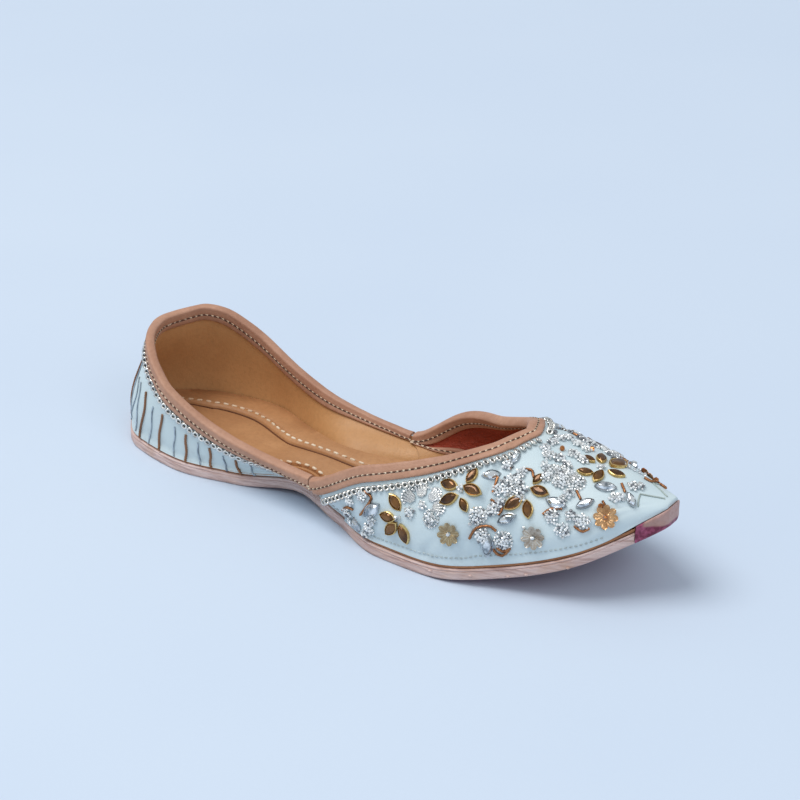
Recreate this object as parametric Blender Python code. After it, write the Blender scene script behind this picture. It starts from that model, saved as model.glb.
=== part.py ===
# A right-foot mojari: leather outsole, thin midsole, folded toe piece, insole with a raised stitched
# seam, one hollow upper, and the bindings folded over its collar and its throat.
# Places are worked out as (station, across, height): along the bent centre line from the back of the
# heel, across it to the inner side of the foot, and up from the floor.

import functools
import math

import bmesh
import bpy

# Driving sizes in metres
length = 0.255
ballWidth = 0.0825
heelHeight = 0.0500
toeSpring = 0.0282
archLift = 0.0018
outsoleThickness = 0.0045
outsoleEdgeRound = 0.0008
midsoleThickness = 0.0013
midsoleInset = 0.0007
insoleThickness = 0.0020
seamInset = 0.0140
seamShift = 0.0025  # the stitched seam lies this much nearer the outer side
seamWidth = 0.0046
seamHeight = 0.0013
upperInset = 0.0014
wallThickness = 0.0018
overlapHeight = 0.0011
bindingThickness = 0.0008
collarBindingWidth = 0.0062
throatBindingWidth = 0.0068
bindingEnd = 0.0006  # what the bindings stop short of the side seam
noseLength = 0.0088
noseHeight = 0.0076
clearance = 0.0003
heelPoint = 0.0320  # the origin lies on the floor this far in front of the back of the heel

# Driving angle in degrees
toeTurn = 7.0  # the toe turns this much towards the inner side

# Stations as shares of the length
turnStart = 0.22
turnEnd = 0.62
archStart = 0.30
archEnd = 0.50
springStart = 0.66
hollowTurn = 0.900  # where the hollow of the toe starts to round off
hollowEnd = 0.945
wingFoot = 0.522  # foot of the seam where the vamp laps over the quarters
overlapFade = 0.10
throat = 0.762

# Outline of the sole: station as a share of the length, half widths as shares of half the ball width
soleColumns = ("station", "outer", "inner")
soleRows = [
    (0.000, 0.000, 0.000),
    (0.030, 0.355, 0.335),
    (0.100, 0.690, 0.620),
    (0.200, 0.780, 0.750),
    (0.300, 0.630, 0.600),
    (0.400, 0.415, 0.440),
    (0.500, 0.635, 0.600),
    (0.600, 0.935, 0.880),
    (0.700, 0.980, 0.995),
    (0.800, 0.820, 0.885),
    (0.900, 0.640, 0.630),
    (0.960, 0.335, 0.360),
    (1.000, 0.110, 0.145),
]

# Top edge of the upper over each place of its foot: stations as shares of the length, half widths as
# shares of half the ball width, heights as shares of the heel height. Past the throat both halves meet.
edgeColumns = ("foot", "outerTop", "innerTop", "outerHalf", "innerHalf", "outerHeight", "innerHeight")
edgeRows = [
    (0.000, 0.056, 0.056, 0.000, 0.000, 0.930, 0.930),
    (0.030, 0.069, 0.069, 0.230, 0.265, 0.935, 0.945),
    (0.060, 0.086, 0.085, 0.385, 0.400, 0.940, 0.962),
    (0.100, 0.110, 0.110, 0.550, 0.510, 0.910, 0.938),
    (0.150, 0.150, 0.150, 0.705, 0.625, 0.800, 0.828),
    (0.200, 0.190, 0.192, 0.765, 0.690, 0.672, 0.692),
    (0.260, 0.255, 0.258, 0.742, 0.700, 0.515, 0.528),
    (0.330, 0.325, 0.330, 0.717, 0.695, 0.417, 0.418),
    (0.400, 0.385, 0.395, 0.710, 0.702, 0.378, 0.363),
    (0.460, 0.428, 0.447, 0.720, 0.728, 0.365, 0.325),
    (0.522, 0.466, 0.487, 0.742, 0.758, 0.368, 0.300),
    (0.600, 0.569, 0.576, 0.802, 0.800, 0.655, 0.582),
    (0.680, 0.676, 0.677, 0.514, 0.500, 0.800, 0.782),
    (0.706, 0.705, 0.706, 0.440, 0.420, 0.858, 0.845),
    (0.735, 0.735, 0.735, 0.332, 0.312, 0.920, 0.914),
    (0.762, 0.762, 0.762, 0.000, 0.000, 0.968, 0.968),
    (0.830, 0.830, 0.830, 0.000, 0.000, 0.925, 0.925),
    (0.900, 0.900, 0.900, 0.000, 0.000, 0.862, 0.862),
    (0.960, 0.955, 0.955, 0.000, 0.000, 0.798, 0.798),
    (1.000, 0.988, 0.988, 0.000, 0.000, 0.755, 0.755),
]

# How the wall leans, in degrees: outwards at its foot, inwards at its top edge. Facing turns from 0,
# straight back, over 90, straight to the side, to 180, straight ahead.
leanColumns = ("foot", "footLean", "topLean", "facing")
leanRows = [
    (0.000, 10.0, 6.0, 0.0),
    (0.030, 10.0, 6.0, 44.0),
    (0.100, 10.0, 4.0, 74.0),
    (0.200, 8.0, 2.0, 88.0),
    (0.300, 22.0, -8.0, 90.0),
    (0.400, 48.0, -14.0, 90.0),
    (0.522, 26.0, 2.0, 90.0),
    (0.600, 10.0, 22.0, 90.0),
    (0.680, 10.0, 52.0, 90.0),
    (0.735, 11.0, 70.0, 90.0),
    (0.762, 12.0, 88.0, 90.0),
    (0.900, 12.0, 88.0, 93.0),
    (0.960, 10.0, 86.0, 100.0),
    (1.000, 10.0, 70.0, 125.0),
]

# Feet of the mesh's columns on each side, as shares of the length
heelFeet = [0.100 * (1 - math.cos(math.radians(10 * step))) for step in range(1, 9)]
quarterFeet = [0.100 + (wingFoot - 0.100) * step / 16 for step in range(16)]
seamFeet = [wingFoot - 0.0010, wingFoot + 0.0010]
vampFeet = [wingFoot + (throat - wingFoot) * math.sin(math.radians(5 * step)) for step in range(1, 18)] + [throat]
toeFeet = [throat + (0.940 - throat) * step / 5 for step in range(1, 6)] + [0.960, 0.980, 1.000]
feet = heelFeet + quarterFeet + seamFeet + vampFeet + toeFeet

outer = -1  # the side away from the other foot
inner = 1


def column(rows, columns, name):
    return [(row[0], row[columns.index(name)]) for row in rows]


# Smooth curve through a table's points that never swings past them
def through(points, at):
    xs = [point[0] for point in points]
    ys = [point[1] for point in points]
    steps = [after - before for before, after in zip(xs, xs[1:])]
    rises = [(after - before) / step for before, after, step in zip(ys, ys[1:], steps)]
    slopes = [rises[0]]
    for first, second in zip(rises, rises[1:]):
        slopes.append(2 * first * second / (first + second) if first * second > 0 else 0.0)
    slopes.append(rises[-1])
    at = min(max(at, xs[0]), xs[-1])
    row = max(index for index in range(len(steps)) if xs[index] <= at)
    t = (at - xs[row]) / steps[row]
    return (
        (1 + 2 * t) * (1 - t) ** 2 * ys[row]
        + t * (1 - t) ** 2 * steps[row] * slopes[row]
        + t * t * (3 - 2 * t) * ys[row + 1]
        + t * t * (t - 1) * steps[row] * slopes[row + 1]
    )


# A half width goes through its squares, so that it rounds off where it starts or ends at nothing
def halfWidth(rows, columns, name, at):
    squares = [(place, share * share) for place, share in column(rows, columns, name)]
    return math.sqrt(max(through(squares, at), 0.0)) * ballWidth / 2


def smoothStep(low, high, at):
    t = min(max((at - low) / (high - low), 0.0), 1.0)
    return t * t * (3 - 2 * t)


# Centre line of the shoe, bent towards the inner side between the turn stations
def traceCentreLine():
    count = 120
    step = length / count
    places = [(0.0, 0.0, 0.0)]
    for index in range(count + 20):
        x, y, _ = places[-1]
        heading = math.radians(toeTurn) * smoothStep(turnStart, turnEnd, (index + 0.5) / count)
        places.append((x + step * math.cos(heading), y + step * math.sin(heading), heading))
    return step, places


lineStep, linePlaces = traceCentreLine()


# World place of a point given along, across and above the centre line
def place(point):
    station, across, height = point
    if station <= 0:
        return (station - heelPoint, across, height)
    index = min(int(station / lineStep), len(linePlaces) - 2)
    t = station / lineStep - index
    x0, y0, heading0 = linePlaces[index]
    x1, y1, heading1 = linePlaces[index + 1]
    heading = heading0 + (heading1 - heading0) * t
    x = x0 + (x1 - x0) * t - across * math.sin(heading)
    y = y0 + (y1 - y0) * t + across * math.cos(heading)
    return (x - heelPoint, y, height)


# Height of the sole's underside above the floor
def lift(station):
    share = station / length
    arch = smoothStep(archStart, 0.5 * (archStart + archEnd), share)
    arch *= 1 - smoothStep(0.5 * (archStart + archEnd), archEnd, share)
    spring = max((share - springStart) / (1 - springStart), 0.0)
    return archLift * arch + toeSpring * spring**2


midsoleFloor = outsoleThickness + clearance
stackHeight = midsoleFloor + midsoleThickness + clearance


# Height of what the foot of the upper stands on, over the sole's underside
def seatHeight(station):
    noseTop = noseHeight + clearance
    return stackHeight + (noseTop - stackHeight) * smoothStep(1 - 2 * noseLength / length, 1.0, station / length)


def sideName(side, word):
    return ("outer" if side == outer else "inner") + word


# Unit vector out of the wall in plan, as (station, across)
def facing(side, foot):
    angle = math.radians(through(column(leanRows, leanColumns, "facing"), foot))
    return (-math.cos(angle), side * math.sin(angle))


# Point of the sole's outline, moved in by inset
def outline(side, foot, inset):
    half = halfWidth(soleRows, soleColumns, sideName(side, ""), foot)
    ahead, aside = facing(side, foot)
    return (foot * length - inset * ahead, side * half - inset * aside)


# Foot, two handles and top of the wall's section over a foot station, with the plan direction of each
def sectionFrame(side, foot):
    station, across = outline(side, foot, upperInset)
    ahead, aside = facing(side, foot)
    start = (station, across, lift(station) + seatHeight(station))
    top = through(column(edgeRows, edgeColumns, sideName(side, "Top")), foot) * length
    half = halfWidth(edgeRows, edgeColumns, sideName(side, "Half"), foot)
    height = through(column(edgeRows, edgeColumns, sideName(side, "Height")), foot) * heelHeight
    end = (top, side * half, height)
    reach = 0.38 * math.dist(start, end)
    footLean = math.radians(through(column(leanRows, leanColumns, "footLean"), foot))
    topLean = math.radians(through(column(leanRows, leanColumns, "topLean"), foot))
    low = (
        start[0] + reach * math.sin(footLean) * ahead,
        start[1] + reach * math.sin(footLean) * aside,
        start[2] + reach * math.cos(footLean),
    )
    high = (
        end[0] + reach * math.sin(topLean) * ahead,
        end[1] + reach * math.sin(topLean) * aside,
        end[2] - reach * math.cos(topLean),
    )
    return (start, low, high, end), (ahead, aside)


# Point of the wall at a share of the way up its section, moved out along the wall's normal
def wall(side, foot, share, offset):
    corners, (ahead, aside) = sectionFrame(side, foot)
    rest = 1 - share
    weights = (rest**3, 3 * rest * rest * share, 3 * rest * share * share, share**3)
    point = [sum(weight * corner[axis] for weight, corner in zip(weights, corners)) for axis in range(3)]
    pulls = (rest * rest, 2 * rest * share, share * share)
    rise = [
        sum(pull * (after[axis] - before[axis]) for pull, before, after in zip(pulls, corners, corners[1:]))
        for axis in range(3)
    ]
    outwards = rise[0] * ahead + rise[1] * aside
    size = math.hypot(outwards, rise[2])
    point[0] += offset * ahead * rise[2] / size
    point[1] += offset * aside * rise[2] / size
    point[2] -= offset * outwards / size
    return tuple(point)


# The vamp stands proud of the quarters where it laps over them, and thins out ahead
def overlap(foot):
    if foot < wingFoot:
        return 0.0
    return overlapHeight * (1 - smoothStep(wingFoot, wingFoot + overlapFade, foot))


# Outside of the wall, with its lap
def skin(side, foot, share):
    station, across, height = wall(side, foot, share, overlap(foot))
    if share == 0:
        height = lift(station) + seatHeight(station)
    return (station, across, height)


# Inside of the wall, rounded off before the toe
def lining(side, foot, share):
    angle = math.radians(90) * max(foot - hollowTurn, 0.0) / (1 - hollowTurn)
    at = min(foot, hollowTurn) + (hollowEnd - hollowTurn) * math.sin(angle)
    station, across, height = wall(side, at, share, -wallThickness)
    if share == 0:
        lean = math.radians(through(column(leanRows, leanColumns, "footLean"), at))
        station, across = outline(side, at, upperInset + wallThickness / math.cos(lean))
        height = lift(station) + seatHeight(station)
    return (station, across * math.cos(angle), height)


# One ring of points: back of the heel, outer side, toe, inner side. The two halves share both ends.
def ring(point):
    ends = []
    for foot in (0.0, 1.0):
        first, second = point(outer, foot), point(inner, foot)
        ends.append(tuple((a + b) / 2 for a, b in zip(first, second)))
    outerHalf = [point(outer, foot) for foot in feet]
    innerHalf = [point(inner, foot) for foot in feet]
    return [ends[0]] + outerHalf[:-1] + [outerHalf[-1], ends[1], innerHalf[-1]] + innerHalf[-2::-1]


def outlineRing(inset, height, end):
    def point(side, foot):
        past = max(foot - hollowTurn, 0.0) / (1 - hollowTurn)
        station, across = outline(side, min(foot, hollowTurn) + past * (end - hollowTurn), inset)
        station = min(station, end * length)
        return (station, across, lift(station) + height)

    return ring(point)


# Stations between which a slab closes along its centre line, and as one fan of faces at either end
def onSpine(station, ends):
    return min(max(station, ends[0] * length), ends[1] * length)


# Ring folded flat on to the centre line, which closes a slab's top or underside
def spineRing(height, ends):
    def point(side, foot):
        station = onSpine(foot * length, ends)
        return (station, 0.0, lift(station) + height)

    return ring(point)


class Builder:
    def __init__(self):
        self.points = []
        self.faces = []
        self.known = {}

    # Points within a thousandth of a millimetre are one
    def index(self, point):
        key = tuple(round(value * 1e6) for value in point)
        if key not in self.known:
            self.known[key] = len(self.points)
            self.points.append(place(point))
        return self.known[key]

    def face(self, corners):
        loop = []
        for corner in corners:
            index = self.index(corner)
            if index not in loop:
                loop.append(index)
        if len(loop) == 4:
            self.faces.append((loop[0], loop[1], loop[2]))
            self.faces.append((loop[0], loop[2], loop[3]))
        elif len(loop) == 3:
            self.faces.append(tuple(loop))

    # Band of faces between two rings, or between two open rows
    def band(self, lower, upper, closed=True, keep=None):
        count = len(lower)
        for index in range(count if closed else count - 1):
            after = (index + 1) % count
            if keep is None or keep(index):
                self.face((lower[index], lower[after], upper[after], upper[index]))

    def finish(self, name, color, roughness):
        mesh = bpy.data.meshes.new(name)
        mesh.from_pydata(self.points, [], self.faces)
        work = bmesh.new()
        work.from_mesh(mesh)
        bmesh.ops.recalc_face_normals(work, faces=work.faces)
        work.to_mesh(mesh)
        work.free()
        mesh.shade_smooth()
        mesh.set_sharp_from_angle(angle=math.radians(38))
        material = bpy.data.materials.new(name + "_material")
        material.use_nodes = True
        shader = material.node_tree.nodes["Principled BSDF"]
        shader.inputs["Base Color"].default_value = (*color, 1.0)
        shader.inputs["Roughness"].default_value = roughness
        mesh.materials.append(material)
        made = bpy.data.objects.new(name, mesh)
        bpy.context.scene.collection.objects.link(made)
        return made


def slab(name, rings, color, roughness):
    build = Builder()
    for lower, upper in zip(rings, rings[1:]):
        build.band(lower, upper)
    return build.finish(name, color, roughness)


noseStart = 1 - noseLength / length
soleSpine = (0.100, noseStart - 0.030)


def makeOutsole():
    top = outsoleThickness
    edge = outsoleEdgeRound
    rings = [
        spineRing(0.0, soleSpine),
        outlineRing(edge, 0.0, noseStart),
        outlineRing(0.0, edge, noseStart),
        outlineRing(0.0, top - edge / 2, noseStart),
        outlineRing(edge / 2, top, noseStart),
        spineRing(top, soleSpine),
    ]
    return slab("outsole", rings, (0.42, 0.27, 0.22), 0.55)


def makeMidsole():
    low = midsoleFloor
    top = midsoleFloor + midsoleThickness
    rings = [
        spineRing(low, soleSpine),
        outlineRing(midsoleInset, low, noseStart),
        outlineRing(midsoleInset, top, noseStart),
        spineRing(top, soleSpine),
    ]
    return slab("midsole", rings, (0.33, 0.14, 0.06), 0.6)


insoleSpine = (0.140, hollowEnd - 0.060)


# Ring of the insole's top, moved in from the wall towards the centre line
def insoleRing(inset, rise):
    def point(side, foot):
        station, across, _ = lining(side, foot, 0)
        middle = onSpine(station, insoleSpine)
        reach = math.hypot(station - middle, across)
        ahead, aside = (station - middle) / reach, across / reach
        room = 0.8 * reach / (seamInset + seamWidth / 2)
        inwards = inset * min(1.0, room) + clearance
        shift = seamShift * smoothStep(0.0, seamInset - seamWidth, inset) * abs(aside)
        station -= inwards * ahead
        across -= inwards * aside + shift
        return (station, across, lift(station) + stackHeight + rise)

    return ring(point)


def insoleSpineRing(height):
    def point(side, foot):
        station = onSpine(lining(side, foot, 0)[0], insoleSpine)
        return (station, -seamShift, lift(station) + height)

    return ring(point)


def makeInsole():
    top = insoleThickness
    rings = [
        insoleSpineRing(stackHeight),
        insoleRing(0.0, 0.0),
        insoleRing(0.0, top),
        insoleRing(seamInset - seamWidth / 2, top),
        insoleRing(seamInset - seamWidth / 4, top + 0.85 * seamHeight),
        insoleRing(seamInset, top + seamHeight),
        insoleRing(seamInset + seamWidth / 4, top + 0.85 * seamHeight),
        insoleRing(seamInset + seamWidth / 2, top),
        insoleSpineRing(stackHeight + top),
    ]
    return slab("insole", rings, (0.52, 0.30, 0.14), 0.5)


# Leather folded up from the tip of the sole, in front of it and under the tip of the upper
def makeToePiece():
    build = Builder()
    start = noseStart + clearance / length
    rows = []
    for share in (0.0, 0.3, 0.6, 0.85, 1.0):
        at = start + (1 - start) * share
        station = at * length
        rise = seatHeight(station) - clearance
        soften = 0.0007 * (1 + share)
        halves = [halfWidth(soleRows, soleColumns, name, at) - 0.0003 for name in ("outer", "inner")]
        row = []
        for side, half in zip((outer, inner), halves):
            flank = [(half - soften, 0.0), (half, soften), (half, rise - soften), (half - soften, rise)]
            flank = [(station, side * across, lift(station) + height) for across, height in flank]
            row += flank if side == outer else flank[::-1]
        rows.append(row)
    for before, after in zip(rows, rows[1:]):
        build.band(before, after)
    for row, turn in ((rows[0], 1), (rows[-1], -1)):
        middle = tuple(sum(point[axis] for point in row) / len(row) for axis in range(3))
        for index in range(len(row)):
            pair = (row[index], row[(index + 1) % len(row)])[::turn]
            build.face((middle, pair[1], pair[0]))
    return build.finish("toe_piece", (0.36, 0.16, 0.20), 0.5)


def unit(vector):
    size = math.hypot(*vector)
    return tuple(value / size for value in vector)


def difference(after, before):
    return tuple(a - b for a, b in zip(after, before))


def cross(a, b):
    return (a[1] * b[2] - a[2] * b[1], a[2] * b[0] - a[0] * b[2], a[0] * b[1] - a[1] * b[0])


# Direction in the wall's surface, square to its top edge and away from the opening
def downFromEdge(side, foot):
    small = 0.002
    if foot >= throat:
        run = (0.0, -float(side), 0.0)
    else:
        before = wall(side, max(foot - small, 0.0), 1.0, 0.0)
        after = wall(side, min(foot + small, throat), 1.0, 0.0)
        run = unit(difference(after, before))
    normal = unit(difference(wall(side, foot, 1.0, 0.001), wall(side, foot, 1.0, 0.0)))
    return tuple(-side * value for value in unit(cross(run, normal)))


# Foot and share of the wall's point that lies a distance below its top edge, square to the edge
@functools.cache
def belowEdge(side, foot, distance):
    if distance == 0 or foot > throat:
        return foot, 1.0
    if foot == throat:
        return throat + distance / length, 1.0
    down = downFromEdge(side, foot)
    target = tuple(value + distance * step for value, step in zip(wall(side, foot, 1.0, 0.0), down))
    share = 0.95
    for _ in range(8):
        here = wall(side, foot, share, 0.0)
        ahead = [value / 0.001 for value in difference(wall(side, foot + 0.001, share, 0.0), here)]
        upwards = [value / 0.01 for value in difference(here, wall(side, foot, share - 0.01, 0.0))]
        miss = difference(target, here)
        aa = sum(value * value for value in ahead)
        au = sum(a * u for a, u in zip(ahead, upwards))
        uu = sum(value * value for value in upwards)
        am = sum(a * m for a, m in zip(ahead, miss))
        um = sum(u * m for u, m in zip(upwards, miss))
        foot += (am * uu - um * au) / (aa * uu - au * au)
        share = min(share + (um * aa - am * au) / (aa * uu - au * au), 1.0)
    return foot, share


# The mesh's rows run from level 0 at the foot of the wall over 1 at the binding's lower edge to 2 at the top
def atLevel(side, foot, level):
    width = collarBindingWidth if foot < wingFoot else throatBindingWidth
    if level > 1:
        return belowEdge(side, foot, (2 - level) * width)
    at, share = belowEdge(side, foot, width)
    return foot + (at - foot) * level**2, share * level


def makeUpper():
    build = Builder()
    outsideLevels = (0.0, 0.06, 0.15, 0.28, 0.42, 0.56, 0.70, 0.85, 1.0, 1.5, 2.0)
    insideLevels = (2.0, 1.5, 1.0, 0.78, 0.52, 0.26, 0.0)
    outside = []
    for level in outsideLevels:
        outside.append(ring(lambda side, foot: skin(side, *atLevel(side, foot, level))))
    inside = []
    for level in insideLevels:
        inside.append(ring(lambda side, foot: lining(side, *atLevel(side, foot, level))))
    count = len(outside[0])
    centre = 1 + feet.index(throat)
    for rings, levels in ((outside, outsideLevels), (inside, insideLevels)):
        for row, level in zip(rings, levels):
            for index in range(centre, len(feet) + 2 if level >= 1 else 0):
                row[count - index] = row[index] = (row[index][0], 0.0, row[index][2])

    def opening(index):
        return index < centre or index >= count - centre

    for rings, levels in ((outside, outsideLevels), (inside, insideLevels)):
        for before, after, low, high in zip(rings, rings[1:], levels, levels[1:]):
            build.band(before, after, keep=opening if low + high > 2 else None)
    build.band(outside[-1], inside[0], keep=opening)
    build.band(inside[-1], outside[0])
    return build.finish("upper", (0.48, 0.60, 0.68), 0.55)


# Section of a folded binding over the edge: down the outside, over the fold, down the inside and back
def bindingSection(side, foot, width, thickness):
    down = downFromEdge(side, foot)
    rows = [belowEdge(side, foot, distance) for distance in (0.0, width / 2, width)]

    def leg(row, offset):
        at, share = rows[row]
        station, across, height = wall(side, at, share, offset + (overlap(at) if offset > 0 else 0.0))
        return (station, 0.0 if foot >= throat else across, height)

    def above(distance, offset):
        return tuple(value - distance * step for value, step in zip(leg(0, offset), down))

    inside = -wallThickness - clearance
    outside = clearance + thickness
    middle = -wallThickness / 2
    section = [leg(2, clearance), leg(2, outside), leg(1, outside), leg(0, outside)]
    section += [above(0.62 * outside, 0.62 * outside), above(outside, middle)]
    section += [above(0.62 * outside, inside - 0.62 * thickness), leg(0, inside - thickness)]
    section += [leg(1, inside - thickness), leg(2, inside - thickness), leg(2, inside), leg(1, inside)]
    section += [above(clearance, inside), above(clearance, middle), above(clearance, clearance)]
    section.append(leg(1, clearance))
    return section


def makeBinding(name, columns, width):
    build = Builder()
    rows = [bindingSection(side, foot, width, bindingThickness) for side, foot in columns]
    for before, after in zip(rows, rows[1:]):
        build.band(after, before)
    legs = [(0, 1, 2, 15), (15, 2, 3, 14), (14, 3, 4, 13), (13, 4, 5, 6), (13, 6, 7, 12), (12, 7, 8, 11)]
    legs.append((11, 8, 9, 10))
    for row, turn in ((rows[0], 1), (rows[-1], -1)):
        for leg in legs:
            build.face([row[index] for index in leg][::turn])
    return build.finish(name, (0.50, 0.27, 0.17), 0.5)


def makeBindings():
    collarFeet = [foot for foot in feet if foot < seamFeet[0]] + [seamFeet[0] - bindingEnd / length]
    around = [(inner, foot) for foot in collarFeet[::-1]] + [(outer, 0.0)]
    around += [(outer, foot) for foot in collarFeet]
    makeBinding("collar_binding", around, collarBindingWidth)
    throatFeet = [seamFeet[1] + bindingEnd / length] + vampFeet[:-1]
    over = [(outer, foot) for foot in throatFeet] + [(outer, throat)] + [(inner, foot) for foot in throatFeet[::-1]]
    makeBinding("throat_binding", over, throatBindingWidth)


for thing in list(bpy.data.objects):
    bpy.data.objects.remove(thing, do_unlink=True)

makeOutsole()
makeMidsole()
makeToePiece()
makeInsole()
makeUpper()
makeBindings()
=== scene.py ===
import functools
import math
import random

import bmesh
import bpy
from mathutils import Matrix, Vector, noise
from mathutils.bvhtree import BVHTree


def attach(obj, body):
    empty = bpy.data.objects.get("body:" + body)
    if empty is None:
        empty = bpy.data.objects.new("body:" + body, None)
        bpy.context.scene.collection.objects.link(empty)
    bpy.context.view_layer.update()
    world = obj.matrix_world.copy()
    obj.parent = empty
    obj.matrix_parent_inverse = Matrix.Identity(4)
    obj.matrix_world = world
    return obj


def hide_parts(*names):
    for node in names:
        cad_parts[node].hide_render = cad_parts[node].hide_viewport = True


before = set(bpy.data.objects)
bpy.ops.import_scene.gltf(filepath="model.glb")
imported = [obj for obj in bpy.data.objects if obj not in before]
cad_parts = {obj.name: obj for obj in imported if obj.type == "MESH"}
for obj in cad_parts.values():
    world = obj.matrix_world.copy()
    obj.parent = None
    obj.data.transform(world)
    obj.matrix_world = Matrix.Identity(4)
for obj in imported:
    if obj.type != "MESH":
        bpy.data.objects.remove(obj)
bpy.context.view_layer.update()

print("frame loaded")

# The shape of the shoe, in the same sizes and sections as its solids. All lengths are in metres, and a
# point is (station, across, height): along the bent centre line, towards the inner side, and up.
# Driving sizes in metres
length = 0.255
ballWidth = 0.0825
heelHeight = 0.0500
toeSpring = 0.0282
archLift = 0.0018
outsoleThickness = 0.0045
outsoleEdgeRound = 0.0008
midsoleThickness = 0.0013
midsoleInset = 0.0007
insoleThickness = 0.0020
seamInset = 0.0140
seamWidth = 0.0046
seamHeight = 0.0013
upperInset = 0.0014
wallThickness = 0.0018
overlapHeight = 0.0011
bindingThickness = 0.0008
collarBindingWidth = 0.0052
throatBindingWidth = 0.0054
bindingEnd = 0.0006  # what the bindings stop short of the side seam
noseLength = 0.0088
noseHeight = 0.0076
clearance = 0.0003
heelPoint = 0.0320  # the origin lies on the floor this far in front of the back of the heel

# Driving angle in degrees
toeTurn = 7.0  # the toe turns this much towards the inner side

# Stations as shares of the length
turnStart = 0.22
turnEnd = 0.62
archStart = 0.30
archEnd = 0.50
springStart = 0.66
hollowTurn = 0.900  # where the hollow of the toe starts to round off
hollowEnd = 0.945
wingFoot = 0.522  # foot of the seam where the vamp laps over the quarters
overlapFade = 0.10
throat = 0.762

# Outline of the sole: station as a share of the length, half widths as shares of half the ball width
soleColumns = ("station", "outer", "inner")
soleRows = [
    (0.000, 0.000, 0.000),
    (0.030, 0.355, 0.335),
    (0.100, 0.690, 0.620),
    (0.200, 0.780, 0.750),
    (0.300, 0.630, 0.600),
    (0.400, 0.415, 0.440),
    (0.500, 0.635, 0.600),
    (0.600, 0.935, 0.880),
    (0.700, 0.980, 0.995),
    (0.800, 0.820, 0.885),
    (0.900, 0.640, 0.630),
    (0.960, 0.335, 0.360),
    (1.000, 0.110, 0.145),
]

# Top edge of the upper over each place of its foot: stations as shares of the length, half widths as
# shares of half the ball width, heights as shares of the heel height. Past the throat both halves meet.
edgeColumns = ("foot", "outerTop", "innerTop", "outerHalf", "innerHalf", "outerHeight", "innerHeight")
edgeRows = [
    (0.000, 0.056, 0.056, 0.000, 0.000, 0.930, 0.930),
    (0.030, 0.069, 0.069, 0.230, 0.265, 0.935, 0.945),
    (0.060, 0.086, 0.085, 0.385, 0.400, 0.940, 0.962),
    (0.100, 0.110, 0.110, 0.550, 0.510, 0.910, 0.938),
    (0.150, 0.150, 0.150, 0.705, 0.625, 0.800, 0.828),
    (0.200, 0.190, 0.192, 0.765, 0.690, 0.672, 0.692),
    (0.260, 0.255, 0.258, 0.742, 0.700, 0.515, 0.528),
    (0.330, 0.325, 0.330, 0.717, 0.695, 0.417, 0.418),
    (0.400, 0.385, 0.395, 0.710, 0.702, 0.378, 0.363),
    (0.460, 0.428, 0.447, 0.720, 0.728, 0.365, 0.325),
    (0.522, 0.466, 0.487, 0.742, 0.758, 0.368, 0.300),
    (0.600, 0.569, 0.576, 0.802, 0.800, 0.655, 0.582),
    (0.680, 0.676, 0.677, 0.514, 0.500, 0.800, 0.782),
    (0.706, 0.705, 0.706, 0.440, 0.420, 0.858, 0.845),
    (0.735, 0.735, 0.735, 0.332, 0.312, 0.920, 0.914),
    (0.762, 0.762, 0.762, 0.000, 0.000, 0.968, 0.968),
    (0.830, 0.830, 0.830, 0.000, 0.000, 0.925, 0.925),
    (0.900, 0.900, 0.900, 0.000, 0.000, 0.862, 0.862),
    (0.960, 0.955, 0.955, 0.000, 0.000, 0.798, 0.798),
    (1.000, 0.988, 0.988, 0.000, 0.000, 0.755, 0.755),
]

# How the wall leans, in degrees: outwards at its foot, inwards at its top edge. Facing turns from 0,
# straight back, over 90, straight to the side, to 180, straight ahead.
leanColumns = ("foot", "footLean", "topLean", "facing")
leanRows = [
    (0.000, 10.0, 6.0, 0.0),
    (0.030, 10.0, 6.0, 44.0),
    (0.100, 10.0, 4.0, 74.0),
    (0.200, 8.0, 2.0, 88.0),
    (0.300, 22.0, -8.0, 90.0),
    (0.400, 48.0, -14.0, 90.0),
    (0.522, 26.0, 2.0, 90.0),
    (0.600, 10.0, 22.0, 90.0),
    (0.680, 10.0, 52.0, 90.0),
    (0.735, 11.0, 70.0, 90.0),
    (0.762, 12.0, 88.0, 90.0),
    (0.900, 12.0, 88.0, 93.0),
    (0.960, 10.0, 86.0, 100.0),
    (1.000, 10.0, 70.0, 125.0),
]

seamFeet = [wingFoot - 0.0010, wingFoot + 0.0010]

outer = -1  # the side away from the other foot
inner = 1


def column(rows, columns, name):
    return [(row[0], row[columns.index(name)]) for row in rows]


# Smooth curve through a table's points that never swings past them
def through(points, at):
    xs = [point[0] for point in points]
    ys = [point[1] for point in points]
    steps = [after - before for before, after in zip(xs, xs[1:])]
    rises = [(after - before) / step for before, after, step in zip(ys, ys[1:], steps)]
    slopes = [rises[0]]
    for first, second in zip(rises, rises[1:]):
        slopes.append(2 * first * second / (first + second) if first * second > 0 else 0.0)
    slopes.append(rises[-1])
    at = min(max(at, xs[0]), xs[-1])
    row = max(index for index in range(len(steps)) if xs[index] <= at)
    t = (at - xs[row]) / steps[row]
    return (
        (1 + 2 * t) * (1 - t) ** 2 * ys[row]
        + t * (1 - t) ** 2 * steps[row] * slopes[row]
        + t * t * (3 - 2 * t) * ys[row + 1]
        + t * t * (t - 1) * steps[row] * slopes[row + 1]
    )


# A half width goes through its squares, so that it rounds off where it starts or ends at nothing
def halfWidth(rows, columns, name, at):
    squares = [(place, share * share) for place, share in column(rows, columns, name)]
    return math.sqrt(max(through(squares, at), 0.0)) * ballWidth / 2


def smoothStep(low, high, at):
    t = min(max((at - low) / (high - low), 0.0), 1.0)
    return t * t * (3 - 2 * t)


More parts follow.
